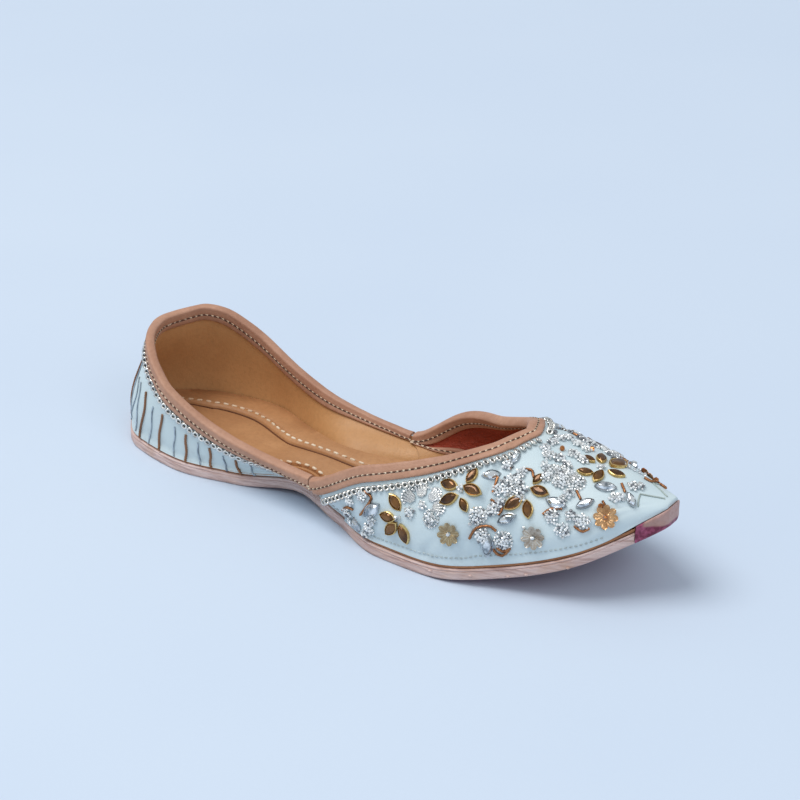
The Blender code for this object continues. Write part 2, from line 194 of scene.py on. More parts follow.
# Centre line of the shoe, bent towards the inner side between the turn stations
def traceCentreLine():
    count = 120
    step = length / count
    places = [(0.0, 0.0, 0.0)]
    for index in range(count + 20):
        x, y, _ = places[-1]
        heading = math.radians(toeTurn) * smoothStep(turnStart, turnEnd, (index + 0.5) / count)
        places.append((x + step * math.cos(heading), y + step * math.sin(heading), heading))
    return step, places


lineStep, linePlaces = traceCentreLine()


# World place of a point given along, across and above the centre line
def place(point):
    station, across, height = point
    if station <= 0:
        return (station - heelPoint, across, height)
    index = min(int(station / lineStep), len(linePlaces) - 2)
    t = station / lineStep - index
    x0, y0, heading0 = linePlaces[index]
    x1, y1, heading1 = linePlaces[index + 1]
    heading = heading0 + (heading1 - heading0) * t
    x = x0 + (x1 - x0) * t - across * math.sin(heading)
    y = y0 + (y1 - y0) * t + across * math.cos(heading)
    return (x - heelPoint, y, height)


# Height of the sole's underside above the floor
def lift(station):
    share = station / length
    arch = smoothStep(archStart, 0.5 * (archStart + archEnd), share)
    arch *= 1 - smoothStep(0.5 * (archStart + archEnd), archEnd, share)
    spring = max((share - springStart) / (1 - springStart), 0.0)
    return archLift * arch + toeSpring * spring**2


midsoleFloor = outsoleThickness + clearance
stackHeight = midsoleFloor + midsoleThickness + clearance


# Height of what the foot of the upper stands on, over the sole's underside
def seatHeight(station):
    noseTop = noseHeight + clearance
    near = smoothStep(1 - 2 * noseLength / length, 1.0, station / length)
    return stackHeight + (noseTop - stackHeight) * near


def sideName(side, word):
    return ("outer" if side == outer else "inner") + word


# Unit vector out of the wall in plan, as (station, across)
def facing(side, foot):
    angle = math.radians(through(column(leanRows, leanColumns, "facing"), foot))
    return (-math.cos(angle), side * math.sin(angle))


# Point of the sole's outline, moved in by inset
def outline(side, foot, inset):
    half = halfWidth(soleRows, soleColumns, sideName(side, ""), foot)
    ahead, aside = facing(side, foot)
    return (foot * length - inset * ahead, side * half - inset * aside)


# Foot, two handles and top of the wall's section over a foot station, with the plan direction of each
@functools.cache
def sectionFrame(side, foot):
    station, across = outline(side, foot, upperInset)
    ahead, aside = facing(side, foot)
    start = (station, across, lift(station) + seatHeight(station))
    top = through(column(edgeRows, edgeColumns, sideName(side, "Top")), foot) * length
    half = halfWidth(edgeRows, edgeColumns, sideName(side, "Half"), foot)
    height = through(column(edgeRows, edgeColumns, sideName(side, "Height")), foot) * heelHeight
    end = (top, side * half, height)
    reach = 0.38 * math.dist(start, end)
    footLean = math.radians(through(column(leanRows, leanColumns, "footLean"), foot))
    topLean = math.radians(through(column(leanRows, leanColumns, "topLean"), foot))
    low = (
        start[0] + reach * math.sin(footLean) * ahead,
        start[1] + reach * math.sin(footLean) * aside,
        start[2] + reach * math.cos(footLean),
    )
    high = (
        end[0] + reach * math.sin(topLean) * ahead,
        end[1] + reach * math.sin(topLean) * aside,
        end[2] - reach * math.cos(topLean),
    )
    return (start, low, high, end), (ahead, aside)


# Point of the wall at a share of the way up its section, moved out along the wall's normal
def wall(side, foot, share, offset):
    corners, (ahead, aside) = sectionFrame(side, foot)
    rest = 1 - share
    weights = (rest**3, 3 * rest * rest * share, 3 * rest * share * share, share**3)
    point = [sum(weight * corner[axis] for weight, corner in zip(weights, corners)) for axis in range(3)]
    pulls = (rest * rest, 2 * rest * share, share * share)
    rise = [
        sum(pull * (after[axis] - before[axis]) for pull, before, after in zip(pulls, corners, corners[1:]))
        for axis in range(3)
    ]
    outwards = rise[0] * ahead + rise[1] * aside
    size = math.hypot(outwards, rise[2])
    point[0] += offset * ahead * rise[2] / size
    point[1] += offset * aside * rise[2] / size
    point[2] -= offset * outwards / size
    return tuple(point)


# The vamp stands proud of the quarters where it laps over them, and thins out ahead
def overlap(foot):
    if foot < wingFoot:
        return 0.0
    return overlapHeight * (1 - smoothStep(wingFoot, wingFoot + overlapFade, foot))


# Outside of the wall, with its lap
def skin(side, foot, share):
    station, across, height = wall(side, foot, share, overlap(foot))
    if share == 0:
        height = lift(station) + seatHeight(station)
    return (station, across, height)


# Inside of the wall, rounded off before the toe
def lining(side, foot, share):
    angle = math.radians(90) * max(foot - hollowTurn, 0.0) / (1 - hollowTurn)
    at = min(foot, hollowTurn) + (hollowEnd - hollowTurn) * math.sin(angle)
    station, across, height = wall(side, at, share, -wallThickness)
    if share == 0:
        lean = math.radians(through(column(leanRows, leanColumns, "footLean"), at))
        station, across = outline(side, at, upperInset + wallThickness / math.cos(lean))
        height = lift(station) + seatHeight(station)
    return (station, across * math.cos(angle), height)


# Stations between which a slab closes along its centre line, and as one fan of faces at either end
def onSpine(station, ends):
    return min(max(station, ends[0] * length), ends[1] * length)


def unit(vector):
    size = math.hypot(*vector)
    return tuple(value / size for value in vector)


def difference(after, before):
    return tuple(a - b for a, b in zip(after, before))


def cross(a, b):
    return (a[1] * b[2] - a[2] * b[1], a[2] * b[0] - a[0] * b[2], a[0] * b[1] - a[1] * b[0])


# Direction in the wall's surface, square to its top edge and away from the opening
def downFromEdge(side, foot):
    small = 0.002
    if foot >= throat:
        run = (0.0, -float(side), 0.0)
    else:
        before = wall(side, max(foot - small, 0.0), 1.0, 0.0)
        after = wall(side, min(foot + small, throat), 1.0, 0.0)
        run = unit(difference(after, before))
    normal = unit(difference(wall(side, foot, 1.0, 0.001), wall(side, foot, 1.0, 0.0)))
    return tuple(-side * value for value in unit(cross(run, normal)))


# Foot and share of the wall's point that lies a distance below its top edge, square to the edge
@functools.cache
def belowEdge(side, foot, distance):
    if distance == 0 or foot > throat:
        return foot, 1.0
    if foot == throat:
        return throat + distance / length, 1.0
    down = downFromEdge(side, foot)
    target = tuple(value + distance * step for value, step in zip(wall(side, foot, 1.0, 0.0), down))
    share = 0.95
    for _ in range(8):
        here = wall(side, foot, share, 0.0)
        ahead = [value / 0.001 for value in difference(wall(side, foot + 0.001, share, 0.0), here)]
        upwards = [value / 0.01 for value in difference(here, wall(side, foot, share - 0.01, 0.0))]
        miss = difference(target, here)
        aa = sum(value * value for value in ahead)
        au = sum(a * u for a, u in zip(ahead, upwards))
        uu = sum(value * value for value in upwards)
        am = sum(a * m for a, m in zip(ahead, miss))
        um = sum(u * m for u, m in zip(upwards, miss))
        foot += (am * uu - um * au) / (aa * uu - au * au)
        share = min(share + (um * aa - am * au) / (aa * uu - au * au), 1.0)
    return foot, share


# Columns and rows of the finer meshes
def turned(count, most):
    return [math.sin(math.radians(most * step / count)) for step in range(1, count + 1)]


fineHeel = [0.100 * (1 - math.cos(math.radians(80 * step / 24))) for step in range(1, 25)]
fineQuarter = [0.084 + (wingFoot - 0.0005 - 0.084) * step / 56 for step in range(56)]
fineVamp = [wingFoot + (throat - wingFoot) * share for share in turned(60, 90)[:-1]] + [throat]
fineToe = [throat + (1 - throat) * (0.125 + 0.875 * step / 27) for step in range(28)]
fineFeet = fineHeel + fineQuarter + [wingFoot - 0.0005, wingFoot + 0.0005] + fineVamp + fineToe


def fineRing(point):
    ends = []
    for foot in (0.0, 1.0):
        first, second = point(outer, foot), point(inner, foot)
        ends.append(tuple((a + b) / 2 for a, b in zip(first, second)))
    outerHalf = [point(outer, foot) for foot in fineFeet]
    innerHalf = [point(inner, foot) for foot in fineFeet]
    return [ends[0]] + outerHalf[:-1] + [outerHalf[-1], ends[1], innerHalf[-1]] + innerHalf[-2::-1]


def inScene(name, data):
    made = bpy.data.objects.new(name, data)
    bpy.context.scene.collection.objects.link(made)
    return made


# Mesh of closed shapes, with its faces turned outwards
def outwardMesh(name, points, faces):
    mesh = bpy.data.meshes.new(name)
    mesh.from_pydata(points, [], faces)
    work = bmesh.new()
    work.from_mesh(mesh)
    bmesh.ops.recalc_face_normals(work, faces=work.faces)
    work.to_mesh(mesh)
    work.free()
    return mesh


class Maker:
    def __init__(self):
        self.points, self.faces, self.finishes, self.known = [], [], [], {}

    def index(self, point):
        key = tuple(round(value * 1e7) for value in point)
        if key not in self.known:
            self.known[key] = len(self.points)
            self.points.append(place(point))
        return self.known[key]

    def face(self, corners, finish=0):
        loop = []
        for corner in corners:
            index = self.index(corner)
            if index not in loop:
                loop.append(index)
        if len(loop) > 2:
            self.faces.append(loop)
            self.finishes.append(finish)

    # Band of faces between two rows of points, each with the finish that chosen gives, or left out for None
    def band(self, lower, upper, closed=True, chosen=lambda index: 0):
        count = len(lower)
        for index in range(count if closed else count - 1):
            after = (index + 1) % count
            finish = chosen(index)
            if finish is not None:
                self.face((lower[index], lower[after], upper[after], upper[index]), finish)

    def bands(self, rows, **options):
        for before, after in zip(rows, rows[1:]):
            self.band(before, after, **options)

    def piece(self, name, materials, sharp=40):
        mesh = outwardMesh(name, self.points, self.faces)
        for material in materials:
            mesh.materials.append(material)
        mesh.polygons.foreach_set("material_index", self.finishes)
        mesh.shade_smooth()
        mesh.set_sharp_from_angle(angle=math.radians(sharp))
        return inScene(name, mesh)


# Small even unrest of hand-worked leather, in metres, by place on the shoe
def unrest(point, size, depth, seed=0.0):
    return depth * noise.noise(Vector((point[0] / size + seed, point[1] / size - seed, point[2] / size)))


def carry(made, slot, *nodes):
    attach(made, "root")
    if nodes:
        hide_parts(*nodes)
    return made


# Finishes
def colour(red, green, blue):
    def linear(value):
        value /= 255
        return value / 12.92 if value <= 0.04045 else ((value + 0.055) / 1.055) ** 2.4

    return (linear(red), linear(green), linear(blue), 1.0)


class Finish:
    def __init__(self, name, base, roughness, metallic=0.0, specular=0.5):
        self.material = bpy.data.materials.new(name)
        self.material.use_nodes = True
        self.nodes, self.links = self.material.node_tree.nodes, self.material.node_tree.links
        self.shader = self.nodes["Principled BSDF"]
        self.shader.inputs["Base Color"].default_value = base
        self.shader.inputs["Roughness"].default_value = roughness
        self.shader.inputs["Metallic"].default_value = metallic
        self.shader.inputs["Specular IOR Level"].default_value = specular
        self.place = self.nodes.new("ShaderNodeTexCoord").outputs["Object"]
        self.heights = []

    def moved(self, location=(0, 0, 0), turn=(0, 0, 0), scale=(1, 1, 1)):
        node = self.nodes.new("ShaderNodeMapping")
        self.links.new(self.place, node.inputs["Vector"])
        node.inputs["Location"].default_value = location
        node.inputs["Rotation"].default_value = [math.radians(angle) for angle in turn]
        node.inputs["Scale"].default_value = scale
        return node.outputs["Vector"]

    # Cloudy pattern whose blots are size metres across
    def cloud(self, size, detail=3.0, rough=0.55, vector=None, distortion=0.0):
        node = self.nodes.new("ShaderNodeTexNoise")
        self.links.new(vector or self.place, node.inputs["Vector"])
        node.inputs["Scale"].default_value = 1 / size
        node.inputs["Detail"].default_value = detail
        node.inputs["Roughness"].default_value = rough
        node.inputs["Distortion"].default_value = distortion
        return node.outputs["Fac"]

    def cells(self, size, kind="F1", vector=None):
        node = self.nodes.new("ShaderNodeTexVoronoi")
        node.feature = kind
        self.links.new(vector or self.place, node.inputs["Vector"])
        node.inputs["Scale"].default_value = 1 / size
        return node.outputs["Distance"]

    def ramp(self, source, stops):
        node = self.nodes.new("ShaderNodeValToRGB")
        self.links.new(source, node.inputs["Fac"])
        while len(node.color_ramp.elements) < len(stops):
            node.color_ramp.elements.new(0.5)
        for element, (position, value) in zip(node.color_ramp.elements, stops):
            element.position = position
            element.color = value if isinstance(value, tuple) else (value, value, value, 1.0)
        return node.outputs["Color"]

    # Share from 0 at low to 1 at high, along one axis of the piece's place
    def along(self, axis, low, high):
        split = self.nodes.new("ShaderNodeSeparateXYZ")
        self.links.new(self.place, split.inputs["Vector"])
        node = self.nodes.new("ShaderNodeMapRange")
        node.interpolation_type = "SMOOTHSTEP"
        self.links.new(split.outputs[axis], node.inputs["Value"])
        node.inputs["From Min"].default_value, node.inputs["From Max"].default_value = low, high
        return node.outputs["Result"]

    def mix(self, factor, first, second, blend="MIX"):
        node = self.nodes.new("ShaderNodeMix")
        node.data_type, node.blend_type = "RGBA", blend
        for name, value in (("Factor_Float", factor), ("A_Color", first), ("B_Color", second)):
            socket = next(s for s in node.inputs if s.identifier == name)
            if isinstance(value, (float, tuple)):
                socket.default_value = value
            else:
                self.links.new(value, socket)
        return next(s for s in node.outputs if s.identifier == "Result_Color")

    def paint(self, source, name="Base Color"):
        self.links.new(source, self.shader.inputs[name])

    # The colour that the surface has so far
    def painted(self):
        return self.shader.inputs["Base Color"].links[0].from_socket

    # Relief: each source stands up to depth metres high
    def relief(self, *layers):
        before = None
        for source, depth in layers:
            node = self.nodes.new("ShaderNodeBump")
            node.inputs["Distance"].default_value = depth
            self.links.new(source, node.inputs["Height"])
            if before:
                self.links.new(before, node.inputs["Normal"])
            before = node.outputs["Normal"]
        self.links.new(before, self.shader.inputs["Normal"])
        return self.material


# Leather with clouded colour, fine pores and soft wrinkles
def leather(name, light, dark, roughness, wrinkle=0.0045, pore=0.0007, depth=0.00012, stretch=(1, 1, 1)):
    finish = Finish(name, light, roughness, specular=0.35)
    spread = finish.moved(scale=stretch)
    clouds = finish.ramp(finish.cloud(0.028, 4.0, 0.6, spread), [(0.30, 0.0), (0.72, 1.0)])
    grain = finish.ramp(finish.cloud(0.0016, 5.0, 0.65, spread), [(0.32, 0.0), (0.68, 1.0)])
    tone = finish.mix(clouds, dark, light)
    darker = tuple(0.80 * value for value in dark[:3]) + (1.0,)
    finish.paint(finish.mix(finish.ramp(grain, [(0.0, 0.32), (0.6, 0.0)]), tone, darker))
    finish.paint(finish.ramp(clouds, [(0.0, roughness + 0.10), (1.0, roughness - 0.06)]), "Roughness")
    pores = finish.ramp(finish.cells(pore, vector=spread), [(0.0, 0.0), (0.35, 1.0)])
    creases = finish.cloud(wrinkle, 5.0, 0.6, spread, 0.6)
    finish.relief((creases, depth * 3.0), (grain, depth), (pores, depth * 0.4))
    return finish


def thread(name, light, dark, roughness=0.6):
    return leather(name, light, dark, roughness, 0.001, 0.0003, 0.00004).material


def metal(name, base, roughness, dark):
    finish = Finish(name, base, roughness, metallic=1.0)
    tarnish = finish.ramp(finish.cloud(0.0035, 3.0, 0.6), [(0.42, 0.0), (0.70, 1.0)])
    finish.paint(finish.mix(tarnish, base, dark))
    finish.paint(finish.ramp(tarnish, [(0.0, roughness), (1.0, roughness + 0.18)]), "Roughness")
    return finish.relief((finish.cloud(0.0006, 2.0, 0.5), 0.00005))


# Glass or pearl, clouded between two colours
def polished(name, base, roughness, metallic, clouds, stops, grain, depth):
    finish = Finish(name, base, roughness, metallic, 0.9)
    finish.paint(finish.ramp(finish.cloud(*clouds), stops))
    return finish.relief((finish.cloud(grain), depth))


# Upper
upperLook = {
    "vampBlue": colour(208, 222, 226),
    "vampShade": colour(194, 211, 218),
    "quarterBlue": colour(206, 221, 224),
    "collarLining": colour(202, 152, 101),
    "collarLiningDark": colour(188, 137, 88),
    "vampLining": colour(196, 84, 56),
    "vampLiningDark": colour(136, 52, 37),
    "dust": colour(150, 158, 160),
    "unrestDepth": 0.00022,
    "quarterSkirt": 0.0009,  # how far the fabric is drawn down over the midsole
    "vampSkirt": 0.0005,
    "skirtOut": 0.0009,
}

# Creases of the vamp, one by one: foot and level of the middle, half length and half width in metres,
# turn from the shoe's length in degrees, and depth in metres (below nothing for a trough)
creaseColumns = ("side", "foot", "level", "halfLength", "halfWidth", "turn", "depth")
creaseRows = [
    (outer, 0.690, 0.10, 0.0090, 0.0016, 62, -0.00035),
    (outer, 0.740, 0.09, 0.0080, 0.0014, 70, -0.00030),
    (outer, 0.800, 0.12, 0.0085, 0.0016, 65, -0.00040),
    (outer, 0.835, 0.10, 0.0070, 0.0013, 80, -0.00030),
    (outer, 0.880, 0.16, 0.0080, 0.0015, 50, -0.00045),
    (outer, 0.915, 0.20, 0.0090, 0.0016, 35, -0.00055),
    (outer, 0.930, 0.46, 0.0100, 0.0012, 12, -0.00050),
    (outer, 0.620, 0.55, 0.0100, 0.0022, 30, -0.00022),
    (outer, 0.580, 0.22, 0.0110, 0.0020, 40, -0.00025),
    (inner, 0.700, 0.10, 0.0090, 0.0016, 62, -0.00035),
    (inner, 0.780, 0.11, 0.0085, 0.0016, 66, -0.00038),
    (inner, 0.860, 0.14, 0.0080, 0.0015, 55, -0.00042),
    (inner, 0.920, 0.30, 0.0090, 0.0014, 25, -0.00050),
    (inner, 0.610, 0.45, 0.0100, 0.0022, 30, -0.00022),
    (outer, 0.300, 0.30, 0.0060, 0.0012, 85, -0.00020),
    (inner, 0.330, 0.35, 0.0060, 0.0012, 85, -0.00020),
]
sectionHeight = 0.040


def crease(side, foot, level):
    rise = 0.0
    for row in creaseRows:
        one = dict(zip(creaseColumns, row))
        if one["side"] != side:
            continue
        ahead = (foot - one["foot"]) * length
        up = (level - one["level"]) * sectionHeight
        turn = math.radians(one["turn"])
        lengthwise = (ahead * math.cos(turn) + up * math.sin(turn)) / one["halfLength"]
        across = (up * math.cos(turn) - ahead * math.sin(turn)) / one["halfWidth"]
        if abs(lengthwise) < 3 and abs(across) < 4:
            trough = math.exp(-across * across) - 0.35 * math.exp(-((abs(across) - 1.9) ** 2))
            rise += one["depth"] * trough * math.exp(-lengthwise * lengthwise)
    return rise


@functools.cache
def atLevel(side, foot, level):
    width = collarBindingWidth if foot < wingFoot else throatBindingWidth
    if level > 1:
        return belowEdge(side, foot, (2 - level) * width)
    at, share = belowEdge(side, foot, width)
    return foot + (at - foot) * level**2, share * level


def outsidePoint(side, foot, level):
    at, share = atLevel(side, foot, level)
    point = skin(side, at, share)
    hold = smoothStep(0.0, 0.05, level) * (1 - smoothStep(0.9, 1.05, level))
    rise = crease(side, foot, level) + unrest(point, 0.011, upperLook["unrestDepth"])
    if foot > 0.5:
        rise += unrest(point, 0.0042, 0.35 * upperLook["unrestDepth"], 3.0)
    skirt = 1 - smoothStep(0.0, 0.055, level)
    quarterDrop, vampDrop = upperLook["quarterSkirt"], upperLook["vampSkirt"]
    drop = quarterDrop + (vampDrop - quarterDrop) * smoothStep(0.45, 0.60, foot)
    out = upperLook["skirtOut"] * skirt * (1 - smoothStep(0.93, 0.99, foot))
    station, across, height = wall(side, at, share, overlap(at) + rise * hold + out)
    if share <= 0:
        height = point[2]
    return (station, across, height - drop * skirt * (1 - smoothStep(0.93, 0.97, foot)))


def insidePoint(side, foot, level):
    return lining(side, *atLevel(side, foot, level))


def makeUpper(materials):
    maker = Maker()
    outsideLevels = [0.0, 0.01, 0.025] + [0.05 + 0.95 * step / 25 for step in range(26)] + [1.5, 2.0]
    insideLevels = [2.0, 1.5] + [1 - step / 12 for step in range(13)]
    outside = [fineRing(lambda side, foot: outsidePoint(side, foot, level)) for level in outsideLevels]
    inside = [fineRing(lambda side, foot: insidePoint(side, foot, level)) for level in insideLevels]
    count = len(outside[0])
    centre = 1 + fineFeet.index(throat)
    seam = 1 + fineFeet.index(wingFoot + 0.0005)
    for rings, levels in ((outside, outsideLevels), (inside, insideLevels)):
        for row, level in zip(rings, levels):
            for index in range(centre, len(fineFeet) + 2 if level >= 1 else 0):
                row[count - index] = row[index] = (row[index][0], 0.0, row[index][2])

    def opening(index):
        return 0 if index < centre or index >= count - centre else None

    def quarterOrVamp(index):
        return 1 if index < seam or index >= count - seam else 2

    for before, after, low, high in zip(outside, outside[1:], outsideLevels, outsideLevels[1:]):
        maker.band(before, after, chosen=opening if low + high > 2 else lambda index: 0)
    for before, after, low, high in zip(inside, inside[1:], insideLevels, insideLevels[1:]):
        maker.band(
            before, after,
            chosen=lambda index: None if low + high > 2 and opening(index) is None else quarterOrVamp(index),
        )
    maker.band(outside[-1], inside[0], chosen=opening)
    maker.band(inside[-1], outside[0])
    return maker.piece("upperWall", materials)


def fabricFinish():
    look = upperLook
    finish = Finish("paleBlueFabric", look["vampBlue"], 0.46, specular=0.38)
    clouds = finish.ramp(finish.cloud(0.030, 3.0, 0.5), [(0.30, 0.0), (0.70, 1.0)])
    tone = finish.mix(clouds, look["vampShade"], look["vampBlue"])
    heel = finish.along("X", 0.075, 0.105)
    tone = finish.mix(heel, look["quarterBlue"], tone)
    # Dust and wear gather low down, where the upper meets the sole
    wear = finish.ramp(finish.cloud(0.0060, 4.0, 0.7), [(0.50, 0.0), (0.78, 0.45)])
    low = finish.ramp(finish.along("Z", 0.006, 0.018), [(0.0, 1.0), (1.0, 0.0)])
    tone = finish.mix(finish.mix(low, (0.0, 0.0, 0.0, 1.0), wear), tone, look["dust"])
    finish.paint(tone)
    finish.paint(finish.ramp(finish.cloud(0.004, 3.0), [(0.3, 0.40), (0.7, 0.54)]), "Roughness")
    grain = finish.cloud(0.0006, 3.0, 0.6)
    return finish.relief((finish.cloud(0.0075, 4.0, 0.55, None, 0.4), 0.00030), (grain, 0.00003))


def liningFinish():
    look = upperLook
    finish = leather("collarLining", look["collarLining"], look["collarLiningDark"], 0.42, 0.012, 0.0009,
                     0.00005)
    # The lining is painted paler and greyer towards the back of the heel: partly painted light that lifts
    # the shade inside the heel cup, partly a greyer tone of its own
    back = finish.ramp(finish.along("X", -0.030, 0.055), [(0.0, 1.0), (1.0, 0.0)])
    shade = finish.mix(back, (1.0, 1.0, 1.0, 1.0), (1.16, 1.26, 1.38, 1.0))
    finish.paint(finish.mix(1.0, finish.painted(), shade, "MULTIPLY"))
    return finish.material


def vampLiningFinish():
    look = upperLook
    return leather("vampLining", look["vampLining"], look["vampLiningDark"], 0.52, 0.0032, 0.0008, 0.00028,
                   (0.55, 1.0, 1.0)).material


upper = makeUpper([fabricFinish(), liningFinish(), vampLiningFinish()])
carry(upper, "upper_fabric", "upper")
print("upper made:", len(upper.data.polygons), "faces")


# Bindings, folded over the edge and sewn through
bindingLook = {
    "light": colour(196, 151, 125),
    "dark": colour(168, 122, 99),
    "rimLight": colour(201, 155, 131),
    "grooveDepth": 0.00022,
    "bulge": 0.00014,
    "thinEdge": 0.55,  # share of the thickness that is left at the pared lower edge
}


# Foot and share at a share of the way across the binding, by a curve through three measured places
@functools.cache
def underBinding(side, foot, t):
    width = collarBindingWidth if foot < wingFoot else throatBindingWidth
    rows = [belowEdge(side, foot, distance) for distance in (0.0, width / 2, width)]
    weights = ((1 - t) * (1 - 2 * t), 4 * t * (1 - t), t * (2 * t - 1))
    return tuple(sum(weight * row[axis] for weight, row in zip(weights, rows)) for axis in (0, 1))


def bindingPoint(side, foot, t, offset, lap):
    at, share = underBinding(side, foot, t)
    station, across, height = wall(side, at, min(share, 1.0), offset + lap * overlap(at))
    return (station, 0.0 if foot >= throat else across, height)


def bindingSection(side, foot):
    look = bindingLook
    half = wallThickness / 2 + clearance + bindingThickness
    crest = clearance + bindingThickness
    down = downFromEdge(side, foot)

    def face(t):
        groove = look["grooveDepth"] * math.exp(-(((t - 0.50) / 0.09) ** 2))
        thin = look["thinEdge"] + (1 - look["thinEdge"]) * min((1 - t) / 0.10, 1.0) ** 0.5
        bulge = look["bulge"] * math.sin(math.pi * t) ** 2
        return bindingThickness * thin + bulge - groove

    shares = (1.0, 0.985, 0.95, 0.88, 0.78, 0.68, 0.60, 0.54, 0.50, 0.46, 0.40, 0.30, 0.20, 0.10, 0.0)
    section = [bindingPoint(side, foot, 1.0, clearance, 1)]
    for t in shares:
        here = bindingPoint(side, foot, t, clearance, 1)
        rise = face(t) + unrest(here, 0.0045, 0.00010, 7.0) + unrest(here, 0.0016, 0.00004, 9.0)
        section.append(bindingPoint(side, foot, t, clearance + rise, 1))
    for step in range(1, 12):
        angle = math.pi * step / 12
        offset = half * math.cos(angle) - wallThickness / 2
        point = bindingPoint(side, foot, 0.0, offset, (1 + math.cos(angle)) / 2)
        rise = crest * math.sin(angle) ** 0.8 + unrest(point, 0.004, 0.00010, 5.0) * math.sin(angle)
        section.append(tuple(value - rise * step for value, step in zip(point, down)))
    for t in shares[::-1]:
        section.append(bindingPoint(side, foot, t, -wallThickness - clearance - face(t), 0))
    section.append(bindingPoint(side, foot, 1.0, -wallThickness - clearance, 0))
    section.append(bindingPoint(side, foot, 0.02, -wallThickness - clearance, 0))
    section.append(bindingPoint(side, foot, 0.02, clearance, 1))
    return section


def makeBinding(name, columns, material):
    maker = Maker()
    rows = [bindingSection(side, foot) for side, foot in columns]
    for before, after in zip(rows, rows[1:]):
        maker.band(after, before)
    # The ends are closed by strips between the outside and the inside of the fold
    for row in (rows[0], rows[-1]):
        count = len(row)
        legs = (count - 3) // 2
        for index in range(legs):
            maker.face((row[index], row[index + 1], row[count - 4 - index], row[count - 3 - index]))
    return maker.piece(name, [material], 50)


collarFeet = [foot for foot in fineFeet if foot < wingFoot - 0.0006] + [seamFeet[0] - bindingEnd / length]
collarAround = [(inner, foot) for foot in collarFeet[::-1]]
collarAround += [(outer, foot) for foot in [0.0] + collarFeet]
throatFeet = [seamFeet[1] + bindingEnd / length] + [foot for foot in fineVamp if foot > wingFoot + 0.004]
throatAround = [(outer, foot) for foot in throatFeet] + [(inner, foot) for foot in throatFeet[-2::-1]]


def bindingFinish():
    look = bindingLook
    finish = leather("bindingLeather", look["light"], look["dark"], 0.47, 0.0035, 0.0006, 0.00007)
    rubbed = finish.ramp(finish.cloud(0.0075, 4.0, 0.65), [(0.55, 0.0), (0.75, 0.55)])
    finish.paint(finish.mix(rubbed, finish.painted(), look["rimLight"]))
    return finish.material


bindingLeather = bindingFinish()
for name, columns, node in (("collarFold", collarAround, "collar_binding"),
                            ("throatFold", throatAround, "throat_binding")):
    carry(makeBinding(name, columns, bindingLeather), "binding_leather", node)
print("bindings made")


# Sole, midsole and toe
soleLook = {
    "edgeLight": colour(232, 208, 202),
    "edgeDark": colour(196, 164, 154),
    "edgeStreak": colour(166, 128, 118),
    "edgeBlot": colour(204, 168, 146),
    "underside": colour(150, 62, 98),
    "undersideDark": colour(112, 44, 72),
    "undersideScuff": colour(190, 146, 146),
    "midsoleLight": colour(196, 140, 98),
    "midsoleDark": colour(112, 70, 48),
    "toeTan": colour(198, 164, 158),
    "toeTanDark": colour(176, 138, 128),
    "toeMagenta": colour(168, 84, 116),
    "toeMagentaDark": colour(112, 40, 66),
    "roughCut": 0.00022,
}
noseStart = 1 - noseLength / length
soleSpine = (0.100, noseStart - 0.030)


def soleRing(inset, height, end, rough=0.0):
    def point(side, foot):
        past = max(foot - hollowTurn, 0.0) / (1 - hollowTurn)
        at = min(foot, hollowTurn) + past * (end - hollowTurn)
        first = outline(side, at, inset)
        cut = rough * noise.noise(Vector((first[0] / 0.005, first[1] / 0.005, height / 0.0015)))
        station, across = outline(side, at, inset + abs(cut))
        station = min(station, end * length)
        return (station, across, lift(station) + height)

    return fineRing(point)


def fineSpineRing(height, ends):
    def point(side, foot):
        station = onSpine(foot * length, ends)
        return (station, 0.0, lift(station) + height)

    return fineRing(point)


def makeOutsole(material, underside):
    maker = Maker()
    top, edge, rough = outsoleThickness, outsoleEdgeRound, soleLook["roughCut"]
    profile = [(edge, 0.0), (0.35 * edge, 0.30 * edge), (0.0, edge)]
    profile += [(0.0, 0.30 * top), (0.05 * edge, 0.42 * top), (0.02 * edge, 0.52 * top), (0.0, 0.64 * top)]
    profile += [(0.02 * edge, 0.74 * top), (0.40 * edge, 0.785 * top), (0.10 * edge, 0.83 * top)]
    profile += [(0.05 * edge, 0.93 * top), (0.5 * edge, top), (2.0 * edge, top)]
    rings = [soleRing(inset, height, noseStart, rough if 0 < height < top else 0.0)
             for inset, height in profile]
    maker.band(fineSpineRing(0.0, soleSpine), rings[0], chosen=lambda index: 1)
    maker.bands(rings + [fineSpineRing(top, soleSpine)])
    return maker.piece("outsoleLeather", [material, underside], 50)


def makeMidsole(material):
    maker = Maker()
    low, high, inset = midsoleFloor, midsoleFloor + midsoleThickness, midsoleInset
    profile = [(inset + 0.0003, low), (inset, low + 0.0003), (inset + 0.0001, (low + high) / 2)]
    profile += [(inset, high - 0.0003), (inset + 0.0003, high)]
    rings = [soleRing(step, height, noseStart, 0.0002) for step, height in profile]
    maker.bands([fineSpineRing(low, soleSpine)] + rings + [fineSpineRing(high, soleSpine)])
    return maker.piece("midsoleLeather", [material], 50)


def soleEdgeFinish():
    look = soleLook
    finish = leather("soleEdgeLeather", look["edgeLight"], look["edgeDark"], 0.62, 0.0035, 0.0009, 0.00010,
                     (0.45, 0.45, 2.2))
    # Streaks of the layers run along the cut edge
    streaks = finish.ramp(finish.cloud(0.0012, 3.0, 0.6, finish.moved(scale=(0.08, 0.08, 1.0))),
                          [(0.46, 0.0), (0.62, 0.6)])
    stained = finish.mix(streaks, finish.painted(), look["edgeStreak"])
    blot = finish.ramp(finish.cloud(0.016, 3.0, 0.6), [(0.52, 0.0), (0.72, 0.55)])
    finish.paint(finish.mix(blot, stained, look["edgeBlot"]))
    return finish.material


